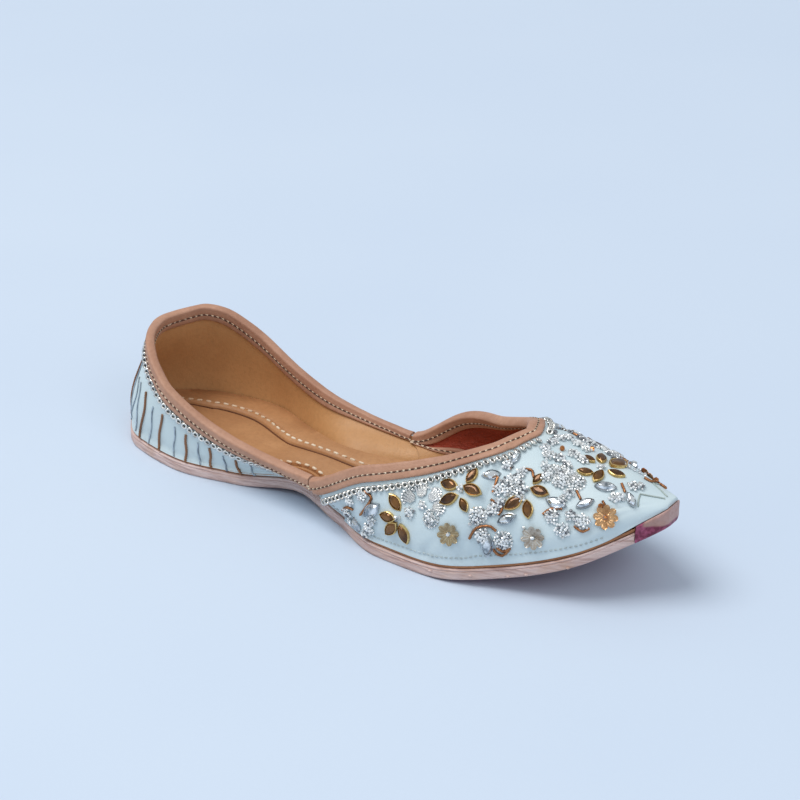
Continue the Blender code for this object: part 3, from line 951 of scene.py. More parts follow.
def undersideFinish():
    look = soleLook
    finish = leather("soleUnderside", look["underside"], look["undersideDark"], 0.60, 0.006, 0.0009, 0.00010)
    long = finish.moved(scale=(0.5, 1.6, 1.0))
    scuffs = finish.ramp(finish.cloud(0.010, 5.0, 0.7, long), [(0.55, 0.0), (0.72, 0.7)])
    finish.paint(finish.mix(scuffs, finish.painted(), look["undersideScuff"]))
    return finish.material


soleEdgeLeather = soleEdgeFinish()
undersideLeather = undersideFinish()
midsoleLeather = leather("midsoleStrip", soleLook["midsoleLight"], soleLook["midsoleDark"], 0.6, 0.003,
                         0.0007, 0.00008, (0.5, 0.5, 1.5)).material
outsole = carry(makeOutsole(soleEdgeLeather, undersideLeather), "sole_leather", "outsole")
carry(makeMidsole(midsoleLeather), "midsole_leather", "midsole")


# One side of the folded leather at the tip, from its underside up, with the corners rounded over
def toeFlank(side, at, share):
    station = at * length
    rise = seatHeight(station) - clearance
    soften = 0.0007 + 0.0009 * share
    half = halfWidth(soleRows, soleColumns, sideName(side, ""), at) - 0.0003
    half -= 0.0010 * max(share - 0.9, 0.0) / 0.1
    waist = 0.00035 * math.sin(math.pi * share)
    turns = [math.radians(turn) for turn in range(0, 91, 18)]
    flank = [(half - soften * (1 - math.sin(turn)), soften * (1 - math.cos(turn))) for turn in turns]
    flank += [(half - waist, rise * 0.36), (half - 2.2 * waist, rise * 0.52), (half - waist, rise * 0.66)]
    flank += [(half - soften * (1 - math.cos(turn)), rise - soften * (1 - math.sin(turn))) for turn in turns]
    return [(station, side * across, lift(station) + height) for across, height in flank]


def makeToeFold(material):
    maker = Maker()
    start = noseStart + clearance / length
    rows = []
    for share in (0.0, 0.08, 0.2, 0.35, 0.5, 0.65, 0.8, 0.9, 0.96, 1.0):
        at = start + (1 - start) * share
        rows.append(toeFlank(outer, at, share) + toeFlank(inner, at, share)[::-1])
    maker.bands(rows)
    for row in (rows[0], rows[-1]):
        middle = tuple(sum(point[axis] for point in row) / len(row) for axis in range(3))
        inset = [tuple(m + (p - m) * 0.6 for p, m in zip(point, middle)) for point in row]
        maker.band(row, inset)
        for index in range(len(row)):
            maker.face((middle, inset[index], inset[(index + 1) % len(row)]))
    return maker.piece("toeFold", [material], 60)


def toeFinish():
    look = soleLook
    finish = leather("toeFoldLeather", look["toeTan"], look["toeTanDark"], 0.36, 0.003, 0.0008, 0.00014)
    tip = place((length, 0.0, 0.0))[0]
    # Magenta leather shows under the tan cap, low down and at its rear edge
    rear = finish.ramp(finish.along("X", tip - 0.0074, tip - 0.0026), [(0.35, 1.0), (0.62, 0.0)])
    low = finish.ramp(finish.along("Z", toeSpring - 0.0005, toeSpring + 0.0036), [(0.30, 1.0), (0.60, 0.0)])
    blots = finish.ramp(finish.cloud(0.0022, 4.0, 0.6), [(0.40, 0.0), (0.62, 1.0)])
    magenta = finish.mix(blots, look["toeMagentaDark"], look["toeMagenta"])
    tone = finish.mix(rear, finish.painted(), magenta)
    finish.paint(finish.mix(low, tone, magenta))
    return finish.material


carry(makeToeFold(toeFinish()), "toe_leather", "toe_piece")
print("sole, midsole and toe made")


# Foot-bed with its sewn ridge
insoleLook = {
    "light": colour(194, 144, 100),
    "dark": colour(170, 121, 81),
    "worn": colour(158, 108, 68),
    "grooveDepth": 0.0010,  # pressed line just outside the ridge
    "outerInset": 0.20,  # the ridge of the outer side lies this share of the inset from the wall
}
insoleSpine = (0.140, hollowEnd - 0.060)


def insoleRing(inset, rise):
    def point(side, foot):
        station, across, _ = lining(side, foot, 0)
        middle = onSpine(station, insoleSpine)
        reach = math.hypot(station - middle, across)
        ahead, aside = (station - middle) / reach, across / reach
        room = 0.8 * reach / (seamInset + seamWidth / 2)
        nearer = 1.0
        if side == outer:
            nearer -= (1 - insoleLook["outerInset"]) * smoothStep(0.0, 1.0, abs(aside))
        inwards = inset * min(1.0, room) * nearer + clearance
        station -= inwards * ahead
        across -= inwards * aside
        soft = unrest((station, across, 0.0), 0.016, 0.00018) if rise > 0 else 0.0
        return (station, across, lift(station) + stackHeight + rise + soft)

    return fineRing(point)


def insoleSpineRing(height):
    def point(side, foot):
        station = onSpine(lining(side, foot, 0)[0], insoleSpine)
        soft = unrest((station, 0.0, 0.0), 0.016, 0.00018) if height > stackHeight else 0.0
        return (station, 0.0, lift(station) + height + soft)

    return fineRing(point)


def makeInsole(material):
    maker = Maker()
    top, groove = insoleThickness, insoleLook["grooveDepth"]
    near, far = seamInset - seamWidth / 2, seamInset + seamWidth / 2
    rings = [insoleSpineRing(stackHeight), insoleRing(0.0, 0.0), insoleRing(0.0, top - 0.0004)]
    rings += [insoleRing(0.0003, top), insoleRing(0.45 * near, top), insoleRing(near - 0.0022, top)]
    rings += [insoleRing(near - 0.0012, top - 0.4 * groove), insoleRing(near - 0.0006, top - groove)]
    for step in range(13):
        t = step / 12
        ridge = seamHeight * math.sin(math.pi * t) ** 0.8 if 0 < t < 1 else -0.6 * groove
        rings.append(insoleRing(near + t * seamWidth, top + ridge))
    rings += [insoleRing(far + 0.0006, top - 0.5 * groove), insoleRing(far + 0.0016, top)]
    rings.append(insoleSpineRing(stackHeight + top))
    maker.bands(rings)
    return maker.piece("footBed", [material], 55)


def insoleFinish():
    finish = leather("insoleLeather", insoleLook["light"], insoleLook["dark"], 0.45, 0.010, 0.0008, 0.00005)
    long = finish.moved(scale=(0.6, 1.4, 1.0))
    worn = finish.ramp(finish.cloud(0.020, 5.0, 0.6, long), [(0.50, 0.0), (0.75, 0.5)])
    finish.paint(finish.mix(worn, finish.painted(), insoleLook["worn"]))
    return finish.material


carry(makeInsole(insoleFinish()), "insole_leather", "insole")
print("foot-bed made")


# Where the photograph was taken from, found from the outline of the shoe
cameraLook = {
    "place": (0.6245021 - heelPoint, -0.5836620, 0.4050601),
    "heading": 2.262550113,
    "pitch": 0.440040067,
    "roll": 0.016338869,
    "focalPixels": 2210.948536,
}
imageSize = 800


def cameraAxes():
    heading, pitch, roll = cameraLook["heading"], cameraLook["pitch"], cameraLook["roll"]
    flat = math.cos(pitch)
    ahead = Vector((flat * math.cos(heading), flat * math.sin(heading), -math.sin(pitch)))
    right = ahead.cross(Vector((0, 0, 1))).normalized()
    up = right.cross(ahead)
    turnedRight = right * math.cos(roll) + up * math.sin(roll)
    turnedUp = -right * math.sin(roll) + up * math.cos(roll)
    return turnedRight, turnedUp, ahead


# Node trees: a row of one shape along paths, one shape set on chosen places, and a cord along paths
class Tree:
    def __init__(self, name, *inputs):
        self.tree = bpy.data.node_groups.new(name, "GeometryNodeTree")
        new = self.tree.interface.new_socket
        new("Geometry", in_out="INPUT", socket_type="NodeSocketGeometry")
        for label, kind in inputs:
            new(label, in_out="INPUT", socket_type="NodeSocket" + kind)
        new("Geometry", in_out="OUTPUT", socket_type="NodeSocketGeometry")
        self.given = self.tree.nodes.new("NodeGroupInput").outputs
        self.result = self.tree.nodes.new("NodeGroupOutput").inputs

    def node(self, kind, sockets=None, **settings):
        made = self.tree.nodes.new(kind)
        for name, value in settings.items():
            setattr(made, name, value)
        for name, value in (sockets or {}).items():
            socket = made.inputs[name]
            if isinstance(value, bpy.types.NodeSocket):
                self.tree.links.new(value, socket)
            else:
                socket.default_value = value
        return made.outputs

    def attribute(self, name):
        return self.node("GeometryNodeInputNamedAttribute", {"Name": name},
                         data_type="FLOAT_VECTOR")["Attribute"]

    def triple(self, value):
        return self.node("ShaderNodeCombineXYZ", {axis: value for axis in "XYZ"})["Vector"]

    def turned(self, turn, angles):
        by = self.node("FunctionNodeEulerToRotation", {"Euler": angles})["Rotation"]
        return self.node("FunctionNodeRotateRotation", {"Rotation": turn, "Rotate By": by},
                         rotation_space="LOCAL")["Rotation"]

    # The given path as a curve, with a point at every step
    def curve(self, step):
        curve = self.node("GeometryNodeMeshToCurve", {"Mesh": self.given["Geometry"]})["Curve"]
        return self.node("GeometryNodeResampleCurve", {"Curve": curve, "Length": step},
                         mode="LENGTH")["Curve"]

    # Shape on each point, its own Z along up and its X along the second direction
    def instances(self, points, along, scale):
        node, given = self.node, self.given
        turn = node("FunctionNodeAxesToRotation",
                    {"Primary Axis": self.attribute("up"), "Secondary Axis": along},
                    primary_axis="Z", secondary_axis="X")["Rotation"]
        turn = self.turned(turn, node("ShaderNodeCombineXYZ", {"Y": given["Tilt"]})["Vector"])
        most = self.triple(given["Spread"])
        least = node("ShaderNodeVectorMath", {0: most, "Scale": -1.0}, operation="SCALE")["Vector"]
        swing = node("FunctionNodeRandomValue", {"Min": least, "Max": most, "Seed": given["Seed"]},
                     data_type="FLOAT_VECTOR")["Value"]
        turn = self.turned(turn, swing)
        shape = node("GeometryNodeObjectInfo", {"Object": given["Shape"]})["Geometry"]
        made = node("GeometryNodeInstanceOnPoints",
                    {"Points": points, "Instance": shape, "Rotation": turn, "Scale": scale})["Instances"]
        self.finish(node("GeometryNodeRealizeInstances", {"Geometry": made})["Geometry"])

    def finish(self, made):
        made = self.node("GeometryNodeSetMaterial", {"Geometry": made, "Material": self.given["Material"]})
        self.tree.links.new(made["Geometry"], self.result["Geometry"])


def makeRowTree():
    tree = Tree("rowAlongPath", ("Shape", "Object"), ("Spacing", "Float"), ("Size", "Float"),
                ("Tilt", "Float"), ("Spread", "Float"), ("Seed", "Int"), ("Material", "Material"))
    tangent = tree.node("GeometryNodeInputTangent")["Tangent"]
    tree.instances(tree.curve(tree.given["Spacing"]), tangent, tree.triple(tree.given["Size"]))
    return tree.tree


def makeSetTree():
    tree = Tree("setOnPlaces", ("Shape", "Object"), ("Tilt", "Float"), ("Spread", "Float"), ("Seed", "Int"),
                ("Material", "Material"))
    tree.instances(tree.given["Geometry"], tree.attribute("along"), tree.attribute("size"))
    return tree.tree


def makeCordTree():
    tree = Tree("cordAlongPath", ("Radius", "Float"), ("Waist", "Float"), ("Twist", "Float"),
                ("Step", "Float"), ("Material", "Material"))
    given, node = tree.given, tree.node
    far = node("GeometryNodeSplineParameter")["Length"]
    tilt = node("ShaderNodeMath", {0: far, 1: given["Twist"]}, operation="MULTIPLY")["Value"]
    curve = node("GeometryNodeSetCurveTilt", {"Curve": tree.curve(given["Step"]), "Tilt": tilt})["Curve"]
    waist = node("ShaderNodeMath", {0: given["Radius"], 1: given["Waist"]}, operation="MULTIPLY")["Value"]
    profile = node("GeometryNodeCurveStar",
                   {"Points": 3, "Inner Radius": waist, "Outer Radius": given["Radius"]})["Curve"]
    made = node("GeometryNodeCurveToMesh",
                {"Curve": curve, "Profile Curve": profile, "Fill Caps": True})["Mesh"]
    tree.finish(made)
    return tree.tree


rowTree, setTree, cordTree = makeRowTree(), makeSetTree(), makeCordTree()


# Runs a tree on a mesh and keeps the result as a plain mesh
def grown(name, mesh, tree, values, smooth=False):
    made = inScene(name, mesh)
    modifier = made.modifiers.new("grow", "NODES")
    modifier.node_group = tree
    for socket in tree.interface.items_tree:
        if socket.in_out == "INPUT" and socket.name in values:
            modifier[socket.identifier] = values[socket.name]
    graph = bpy.context.evaluated_depsgraph_get()
    result = bpy.data.meshes.new_from_object(made.evaluated_get(graph))
    result.name = name
    for extra in ("up", "along", "size"):
        if extra in result.attributes:
            result.attributes.remove(result.attributes[extra])
    made.modifiers.clear()
    made.data = result
    bpy.data.meshes.remove(mesh)
    if smooth:
        result.shade_smooth()
    return carry(made, None)


def writeVectors(mesh, name, values):
    attribute = mesh.attributes.new(name, "FLOAT_VECTOR", "POINT")
    attribute.data.foreach_set("vector", [part for value in values for part in value])


# Paths are lists of (point, up)
def pathMesh(name, paths):
    points, ups, edges = [], [], []
    for path in paths:
        for step, (point, up) in enumerate(path):
            if step:
                edges.append((len(points) - 1, len(points)))
            points.append(point)
            ups.append(up)
    mesh = bpy.data.meshes.new(name + "Path")
    mesh.from_pydata(points, edges, [])
    writeVectors(mesh, "up", ups)
    return mesh


def rowAlongPath(name, paths, shape, material, spacing, size, tilt, spread, seed, smooth=False):
    values = {"Shape": shape, "Spacing": spacing, "Size": size, "Tilt": tilt, "Spread": spread,
              "Seed": seed, "Material": material}
    return grown(name, pathMesh(name, paths), rowTree, values, smooth)


def cordAlongPath(name, paths, material, radius, waist=0.72, twist=2600.0, step=0.0005):
    values = {"Radius": radius, "Waist": waist, "Twist": twist, "Step": step, "Material": material}
    return grown(name, pathMesh(name, paths), cordTree, values, True)


# Places are (point, up, along, size)
def setOnPlaces(name, places, shape, material, spread=0.0, seed=5, smooth=False):
    mesh = bpy.data.meshes.new(name + "Places")
    mesh.from_pydata([one[0] for one in places], [], [])
    for index, attribute in enumerate(("up", "along", "size"), 1):
        writeVectors(mesh, attribute, [one[index] for one in places])
    values = {"Shape": shape, "Tilt": 0.0, "Spread": spread, "Seed": seed, "Material": material}
    return grown(name, mesh, setTree, values, smooth)


def spread(low, high, count):
    return [low + (high - low) * step / count for step in range(count + 1)]


# Small shapes that are repeated. Each is one unit long or wide unless its note says otherwise
shapes = []


def keepShape(name, points, faces):
    made = inScene(name, outwardMesh(name, points, faces))
    shapes.append(made)
    return made


# Shape between rings of points, closed by a face at both ends or looped from the last ring to the first
def ringsShape(name, rings, looped=False):
    points = [point for ring in rings for point in ring]
    count = len(rings[0])
    faces = []
    for ring in range(len(rings) if looped else len(rings) - 1):
        low, high = ring * count, (ring + 1) % len(rings) * count
        for index in range(count):
            after = (index + 1) % count
            faces.append((low + index, low + after, high + after, high + index))
    if not looped:
        faces += [tuple(range(count)), tuple(range(len(points) - count, len(points)))]
    return keepShape(name, points, faces)


def around(count, across, up, height=0.0, turn=0.0):
    angles = [turn + 2 * math.pi * step / count for step in range(count)]
    return [(across * math.cos(angle), up * math.sin(angle), height) for angle in angles]


def ballShape(name, rows, count):
    rings = []
    for step in range(1, rows):
        angle = math.pi * step / rows
        reach = 0.5 * math.sin(angle)
        rings.append(around(count, reach, reach, -0.5 * math.cos(angle), math.pi * step / count))
    return ringsShape(name, rings)


def hoopShape(name, radius, tube, count=12, sides=5):
    rings = []
    for step in range(count):
        angle = 2 * math.pi * step / count
        section = [(radius + out, height) for out, height, _ in around(sides, tube, tube)]
        rings.append([(reach * math.cos(angle), reach * math.sin(angle), height)
                      for reach, height in section])
    return ringsShape(name, rings, looped=True)


# Leaf outline from 0 to 1 along X, half a unit wide to each side
def leafOutline(inset, height, count=7, belly=0.75):
    shares = [step / count for step in range(count + 1)]
    row = [(share, math.sin(math.pi * share) ** belly * 0.5) for share in shares]
    row += [(share, -half) for share, half in row[-2:0:-1]]
    return [(0.5 + (x - 0.5) * (1 - 0.7 * inset), y * (1 - inset), height) for x, y in row]


def makeStone(name, rise=1.0):
    return ringsShape(name, [leafOutline(0.10, 0.0), leafOutline(0.14, 0.45 * rise),
                             leafOutline(0.48, 0.92 * rise), leafOutline(0.72, rise)])


def makeSetting(name):
    section = ((-0.04, 0.0), (-0.02, 0.55), (0.12, 0.66), (0.20, 0.40), (0.20, 0.05))
    return ringsShape(name, [leafOutline(inset, height) for inset, height in section], looped=True)


def makeBar(name, sides=6):
    ends = ((-0.5, 0.30), (-0.42, 0.48), (0.0, 0.5), (0.42, 0.48), (0.5, 0.30))
    return ringsShape(name, [[(x, y, z) for y, z, _ in around(sides, reach, reach)] for x, reach in ends])


# Petal from 0 to 1 along X, cupped, with a rim that stands up
def makePetal(name):
    rows = ((0.00, 0.10, 0.10), (0.20, 0.30, 0.16), (0.50, 0.48, 0.24), (0.80, 0.44, 0.40),
            (1.00, 0.18, 0.55))
    section = ((-1.0, 0.0), (-0.45, -0.12), (0.0, 0.02), (0.45, -0.12), (1.0, 0.0), (1.0, -0.14),
               (-1.0, -0.14))
    rings = [[(x, half * across, height + up) for across, up in section] for x, half, height in rows]
    return ringsShape(name, rings)


# Stitch one unit long, flat underneath and narrow at its ends
def makeStitch(name):
    section = ((-0.23, -0.05), (0.23, -0.05), (0.20, 0.14), (0.0, 0.21), (-0.20, 0.14))
    ends = ((-0.5, 0.35), (-0.34, 1.0), (0.34, 1.0), (0.5, 0.35))
    return ringsShape(name, [[(x, y * wide, z * wide) for y, z in section] for x, wide in ends])


beadShape = ballShape("beadShape", 5, 6)
roundShape = ballShape("roundShape", 7, 9)
rowHoop = hoopShape("rowHoop", 0.335, 0.165)
# Dark disc set in each hoop's hole: painted shade of the hollow bead
rowHole = ringsShape("rowHole", [around(8, 0.185, 0.185, height) for height in (-0.07, 0.05)])
stoneShape, crystalShape = makeStone("stoneShape"), makeStone("crystalShape", 1.25)
settingShape = makeSetting("settingShape")
barShape, petalShape = makeBar("barShape"), makePetal("petalShape")
stitchBar = makeStitch("stitchBar")
print("shapes and trees made")


# Places on the upper: its outside is met by the sight line through a pixel of the photograph
def surfaceOf(made):
    return BVHTree.FromPolygons([vertex.co for vertex in made.data.vertices],
                                [polygon.vertices for polygon in made.data.polygons])


upperSurface = surfaceOf(upper)
pixelsPerMetre = 2950.0  # over the vamp
centreSteps = [length * step / 400 for step in range(401)]
centreLine = [Vector(place((station, 0.0, 0.0))) for station in centreSteps]
acrossLine = [(Vector(place((station, 0.001, 0.0))) - centre).normalized()
              for station, centre in zip(centreSteps, centreLine)]


def nearestCentre(point):
    flat = Vector((point[0], point[1], 0.0))
    return min(range(len(centreLine)), key=lambda index: (centreLine[index] - flat).length_squared)


def sightLine(x, y):
    right, up, ahead = cameraAxes()
    focal = cameraLook["focalPixels"]
    return (ahead + right * ((x - imageSize / 2) / focal) - up * ((y - imageSize / 2) / focal)).normalized()


# The surface's own direction, turned to look back along the way
def turnedBack(up, way):
    return up if up.dot(way) < 0 else -up


def mirrored(vector, across):
    return vector - 2 * vector.dot(across) * across


@functools.cache
def spot(x, y, flip=False):
    eye = Vector(cameraLook["place"])
    # A pixel just outside the outline is moved by as little as brings it on to the shoe
    for step in range(0, 300):
        reach, angle = 0.5 * ((step + 9) // 10), math.pi * (step % 10) / 5
        way = sightLine(x + reach * math.cos(angle), y + reach * math.sin(angle))
        hit, up, _, _ = upperSurface.ray_cast(eye, way)
        if hit and (hit - eye).length < 2.0:
            break
    if flip:
        index = nearestCentre(hit)
        across, centre = acrossLine[index], centreLine[index]
        start, way = centre + mirrored(hit - centre, across), mirrored(way, across)
        hit, up, _, _ = upperSurface.ray_cast(start - 0.06 * way, way)
        if not hit:
            hit, up, _, _ = upperSurface.find_nearest(start)
    return hit, turnedBack(up, way)


def acrossOf(point):
    index = nearestCentre(point)
    return (Vector((point[0], point[1], 0.0)) - centreLine[index]).dot(acrossLine[index])


# The same place again on the outside of the upper, after a small move along it
def seated(point, up, rise=0.0):
    hit, found, _, _ = upperSurface.ray_cast(point + 0.004 * up, -up)
    if not hit or (hit - point).length > 0.006:
        return point + rise * up, up
    found = turnedBack(found, -up)
    return hit + rise * found, found


# Smooth curve from a to b, with the points before and after them
def curveBetween(t, before, a, b, after):
    square = 2 * before - 5 * a + 4 * b - after
    cube = 3 * a - before - 3 * b + after
    return 0.5 * (2 * a + (b - before) * t + square * t**2 + cube * t**3)


def smoothPath(points, steps):
    path = []
    for index in range(len(points) - 1):
        near = [points[min(max(index + step, 0), len(points) - 1)] for step in (-1, 0, 1, 2)]
        for step in range(steps):
            path.append(tuple(curveBetween(step / steps, *values) for values in zip(*near)))
    return path + [tuple(points[-1])]


def cordPath(pixels, rise, flip=False, steps=6):
    spots = [spot(x, y, flip) for x, y in smoothPath(pixels, steps)]
    return [(point + rise * up, up) for point, up in spots]


# Bead row under the throat and the collar, and the stitches of the bindings
rowLook = {
    "vampHoop": {"size": 0.0029, "pitch": 0.00245, "tilt": 0.72},
    "collarHoop": {"size": 0.0032, "pitch": 0.0030, "tilt": 0.34},
    "vampGap": 0.0026,  # from the binding's lower edge to the middle of the vamp's row
    "vampAhead": 0.018,  # the vamp's row starts this share of the length ahead of the side seam
    "collarGap": 0.0016,
    "collarShort": 0.120,  # the collar's row stops this much of the length behind the side seam
    "stitchPitch": 0.0023,
    "stitchLength": 0.0016,
    "seamStitchPitch": 0.0040,
    "seamStitchLength": 0.0024,
    "vampStitchPitch": 0.0019,
    "vampStitchLength": 0.0013,
}


# Place off the wall by an offset and a rise, and the way straight off the wall there
def wallSpot(side, at, share, offset, rise=0.0, away=0.001):
    low = Vector(place(wall(side, at, share, offset)))
    up = (Vector(place(wall(side, at, share, offset + away))) - low).normalized()
    return low + rise * up, up


def onWall(side, foot, distance, rise):
    at, share = belowEdge(side, foot, distance)
    return wallSpot(side, at, share, overlap(at), rise)


hoopRise = 0.30 * rowLook["vampHoop"]["size"]
vampDistance = throatBindingWidth + rowLook["vampGap"]
collarDistance = collarBindingWidth + rowLook["collarGap"]
vampStart, collarEnd = wingFoot + rowLook["vampAhead"], wingFoot - rowLook["collarShort"]
vampPaths, collarPaths = [], []
for side in (outer, inner):
    # Each row turns down in a small hook at its end
    path = [onWall(side, foot, vampDistance, hoopRise) for foot in spread(vampStart, throat - 0.002, 90)]
    hook = [onWall(side, vampStart - 0.004 * step, vampDistance + 0.0008 * step**1.3, hoopRise)
            for step in (3, 2, 1)]
    vampPaths.append(hook + path)
    path = [onWall(side, foot, collarDistance, hoopRise) for foot in spread(0.004, collarEnd, 110)]
    hook = [onWall(side, collarEnd + 0.003 * step, collarDistance + 0.0018 * step**1.2, hoopRise)
            for step in (1, 2, 3)]
    collarPaths.append(path + hook)
silverRow = metal("silverRow", colour(240, 238, 232), 0.2, colour(176, 174, 172))
# Grey of the discs in the hoops' holes: painted shade
holePaintedShade = leather("beadHolePaintedShade", colour(92, 96, 92), colour(60, 64, 64), 0.5, 0.001, 0.0003,
                   0.00003).material
collarAll = [collarPaths[1][::-1] + collarPaths[0]]
for name, paths, hoop, seed in (("vampBeadRow", vampPaths, rowLook["vampHoop"], 11),
                                ("collarBeadRow", collarAll, rowLook["collarHoop"], 12)):
    for part, shape, material in (("", rowHoop, silverRow), ("Holes", rowHole, holePaintedShade)):
        rowAlongPath(name + part, paths, shape, material, hoop["pitch"], hoop["size"], hoop["tilt"],
                     0.10, seed, not part)


def onBinding(side, foot, outside):
    at, share = underBinding(side, foot, 0.5)
    reach = clearance + bindingThickness - 0.00006
    if outside:
        return wallSpot(side, at, share, overlap(at) + reach)
    return wallSpot(side, at, share, -wallThickness - reach, away=-0.001)


stitchPaths = []
for outside in (True, False):
    for feetRow in (collarFeet[::2], throatFeet[::2]):
        for side in (outer, inner):
            stitchPaths.append([onBinding(side, foot, outside) for foot in feetRow])
threadLight = thread("lightThread", colour(232, 214, 190), colour(196, 170, 142))
# Dark cord under the light stitches: painted shade of the stitch holes and the groove they lie in
stitchShadeThread = thread("stitchHoleShade", colour(96, 66, 52), colour(70, 46, 38), 0.7)
stitchShadePaths = [[(point + 0.00004 * up, up) for point, up in path] for path in stitchPaths]
rowAlongPath("bindingStitches", stitchPaths, stitchBar, threadLight, rowLook["stitchPitch"],
             rowLook["stitchLength"], 0.0, 0.05, 21)
cordAlongPath("bindingSeam", stitchShadePaths, stitchShadeThread, 0.00036, 0.8, 0.0, 0.0012)


# Closed path round the foot-bed, so far in from its edge
def footBedPath(inset, height):
    ring = insoleRing(inset, height)
    return [(Vector(place(point)), Vector((0.0, 0.0, 1.0))) for point in ring + ring[:1]]


seamPath = footBedPath(seamInset, insoleThickness + seamHeight - 0.00005)
creasePath = footBedPath(seamInset + seamWidth / 2 + 0.0002, insoleThickness - 0.0004)
threadPearl = thread("pearlThread", colour(240, 226, 204), colour(206, 176, 140), 0.4)
# Dark cord in the pressed line outside the ridge: painted shade of the crease
creaseShadeThread = thread("footBedCrease", colour(120, 74, 44), colour(88, 52, 32))
rowAlongPath("footBedStitches", [seamPath], stitchBar, threadPearl, rowLook["seamStitchPitch"],
             rowLook["seamStitchLength"], 0.0, 0.15, 22)
cordAlongPath("footBedCreaseLine", [creasePath], creaseShadeThread, 0.00042, 0.8, 0.0, 0.0015)


# Foot and level of the nearest place on the outer side, for what is sewn again on the inner side
wallGrid = [(foot, level, Vector(place(skin(outer, *atLevel(outer, foot, level)))))
            for foot in fineFeet for level in spread(0.0, 1.0, 24)]


def footAndLevel(point):
    return min(wallGrid, key=lambda row: (row[2] - point).length_squared)[:2]


def onSkin(side, foot, level, rise):
    low = Vector(place(outsidePoint(side, foot, level)))
    up = wallSpot(side, *atLevel(side, foot, level), 0.0)[1]
    return low + rise * up, up


# Fine stitches along the foot of the vamp and twice down the rear edge of each wing
fineStitches = []
for side in (outer, inner):
    fineStitches.append([onSkin(side, foot, 0.06, 0.00008) for foot in spread(wingFoot + 0.02, 0.93, 80)])
    for ahead in (0.006, 0.014):
        rear = [atLevel(side, wingFoot + ahead, level) for level in spread(0.06, 0.98, 20)]
        fineStitches.append([wallSpot(side, at, share, overlap(at)) for at, share in rear])
threadBlue = thread("blueThread", colour(206, 218, 220), colour(150, 160, 160))
rowAlongPath("vampStitches", fineStitches, stitchBar, threadBlue, rowLook["vampStitchPitch"],
             rowLook["vampStitchLength"], 0.0, 0.05, 23)
print("rows and stitches made")


# The lining of the quarters runs on under the vamp as a flap, whose bound edge falls towards the toe
flapLook = {
    "edgePixels": [(418.0, 433.5), (429.9, 439.9), (445.0, 447.0)],  # on the far wall
    "sheet": 0.0007,
    "bindingLevels": 0.26,  # share of the wall's height that the bound edge takes
    "bindingThickness": 0.0008,
    "endFoot": 0.640,
}
insideGrid = [(foot, level, Vector(place(lining(inner, *atLevel(inner, foot, level)))))
              for foot in fineVamp[:50] for level in spread(0.0, 1.0, 24)]


def flapEdge():
    places = []
    for x, y in flapLook["edgePixels"]:
        hit, _, _, _ = upperSurface.ray_cast(Vector(cameraLook["place"]), sightLine(x, y))
        places.append(min(insideGrid, key=lambda row: (row[2] - hit).length_squared)[:2])
    print("flap edge:", [tuple(round(value, 3) for value in row) for row in places])
    (firstFoot, firstLevel), (lastFoot, lastLevel) = places[0], places[-1]
    slope = (lastLevel - firstLevel) / max(lastFoot - firstFoot, 0.01)
    return lambda foot: firstLevel + slope * (foot - firstFoot)


flapLevel = flapEdge()


def underFlap(rise):
    return -wallThickness - flapLook["sheet"] - rise


# Level of the flap's edge, and how much of the levels below it the bound edge takes
def flapBand(foot):
    top = min(max(flapLevel(foot), 0.05), 0.97)
    return top, min(flapLook["bindingLevels"], 0.6 * top)


def makeFlap(name, side, materials):
    rise = flapLook["bindingThickness"]
    profile = ((0.0, 0.55), (0.06, 0.9), (0.3, 1.0), (0.44, 0.95), (0.5, 0.75), (0.56, 0.95), (0.75, 1.0),
               (0.93, 0.9), (1.0, 0.5), (1.0, -0.9))
    maker = Maker()
    rows, seam = [], []
    for foot in spread(wingFoot - 0.004, flapLook["endFoot"], 40):
        top, band = flapBand(foot)
        places = [((top - band) * t, 0.0) for t in (0.0, 0.4, 0.8, 1.0)]
        places += [(top - band * (1 - t), rise * share) for t, share in profile]
        rows.append([wall(side, *atLevel(side, foot, level), underFlap(out)) for level, out in places])
        middle = atLevel(side, foot, top - 0.5 * band)
        seam.append(wallSpot(side, *middle, underFlap(0.75 * rise), away=-0.001))
    maker.bands(rows, closed=False, chosen=lambda index: 1 if index > 2 else 0)
    return carry(maker.piece(name, materials, 50), None), seam


flapSeams = []
for name, side in (("innerFlap", inner), ("outerFlap", outer)):
    flapSeams.append(makeFlap(name, side, [upper.data.materials[1], bindingLeather])[1])
rowAlongPath("flapStitches", flapSeams, stitchBar, threadLight, rowLook["stitchPitch"],
             rowLook["stitchLength"], 0.0, 0.05, 24)
# Dark cord under the flap's stitches: painted shade of the stitch holes
cordAlongPath("flapSeam", flapSeams, stitchShadeThread, 0.00034, 0.8, 0.0, 0.0012)
print("flaps made")


# Couched cords on the quarters, as pixels of their top and foot: every second one is thin and silver
quarterLook = {"brownRadius": 0.00062, "silverRadius": 0.00042, "waver": 1.0, "spacing": 0.0044}
brownCords = [(146.8, 391.8, 140, 438.7), (162.9, 414.5, 158.8, 453.4), (186.3, 434.6, 185.6, 462.8),
              (209.7, 448, 211.7, 470.1), (235.8, 460, 241.2, 475.5)]
silverCords = [(140, 377, 131, 419), (141.5, 382, 136, 431), (153.5, 406.5, 148.8, 444),
               (174.9, 426.6, 174.2, 456.7), (198.3, 442.7, 200.4, 465.4), (223.1, 456, 227.1, 473.5),
               (249.9, 464, 255.3, 477.5)]


# Feet at even steps round the back of the heel, up to the first cord that the photograph shows
def heelPlaces():
    last, _ = footAndLevel(spot(*silverCords[1][:2])[0])
    row, far, before = [], 0.0, None
    for foot in [0.0] + fineHeel:
        point = Vector(place(skin(outer, *atLevel(outer, foot, 0.5))))
        far += (point - before).length if before else 0.0
        before = point
        if far >= len(row) * quarterLook["spacing"] and foot < last:
            row.append(foot)
    return row[:-1]


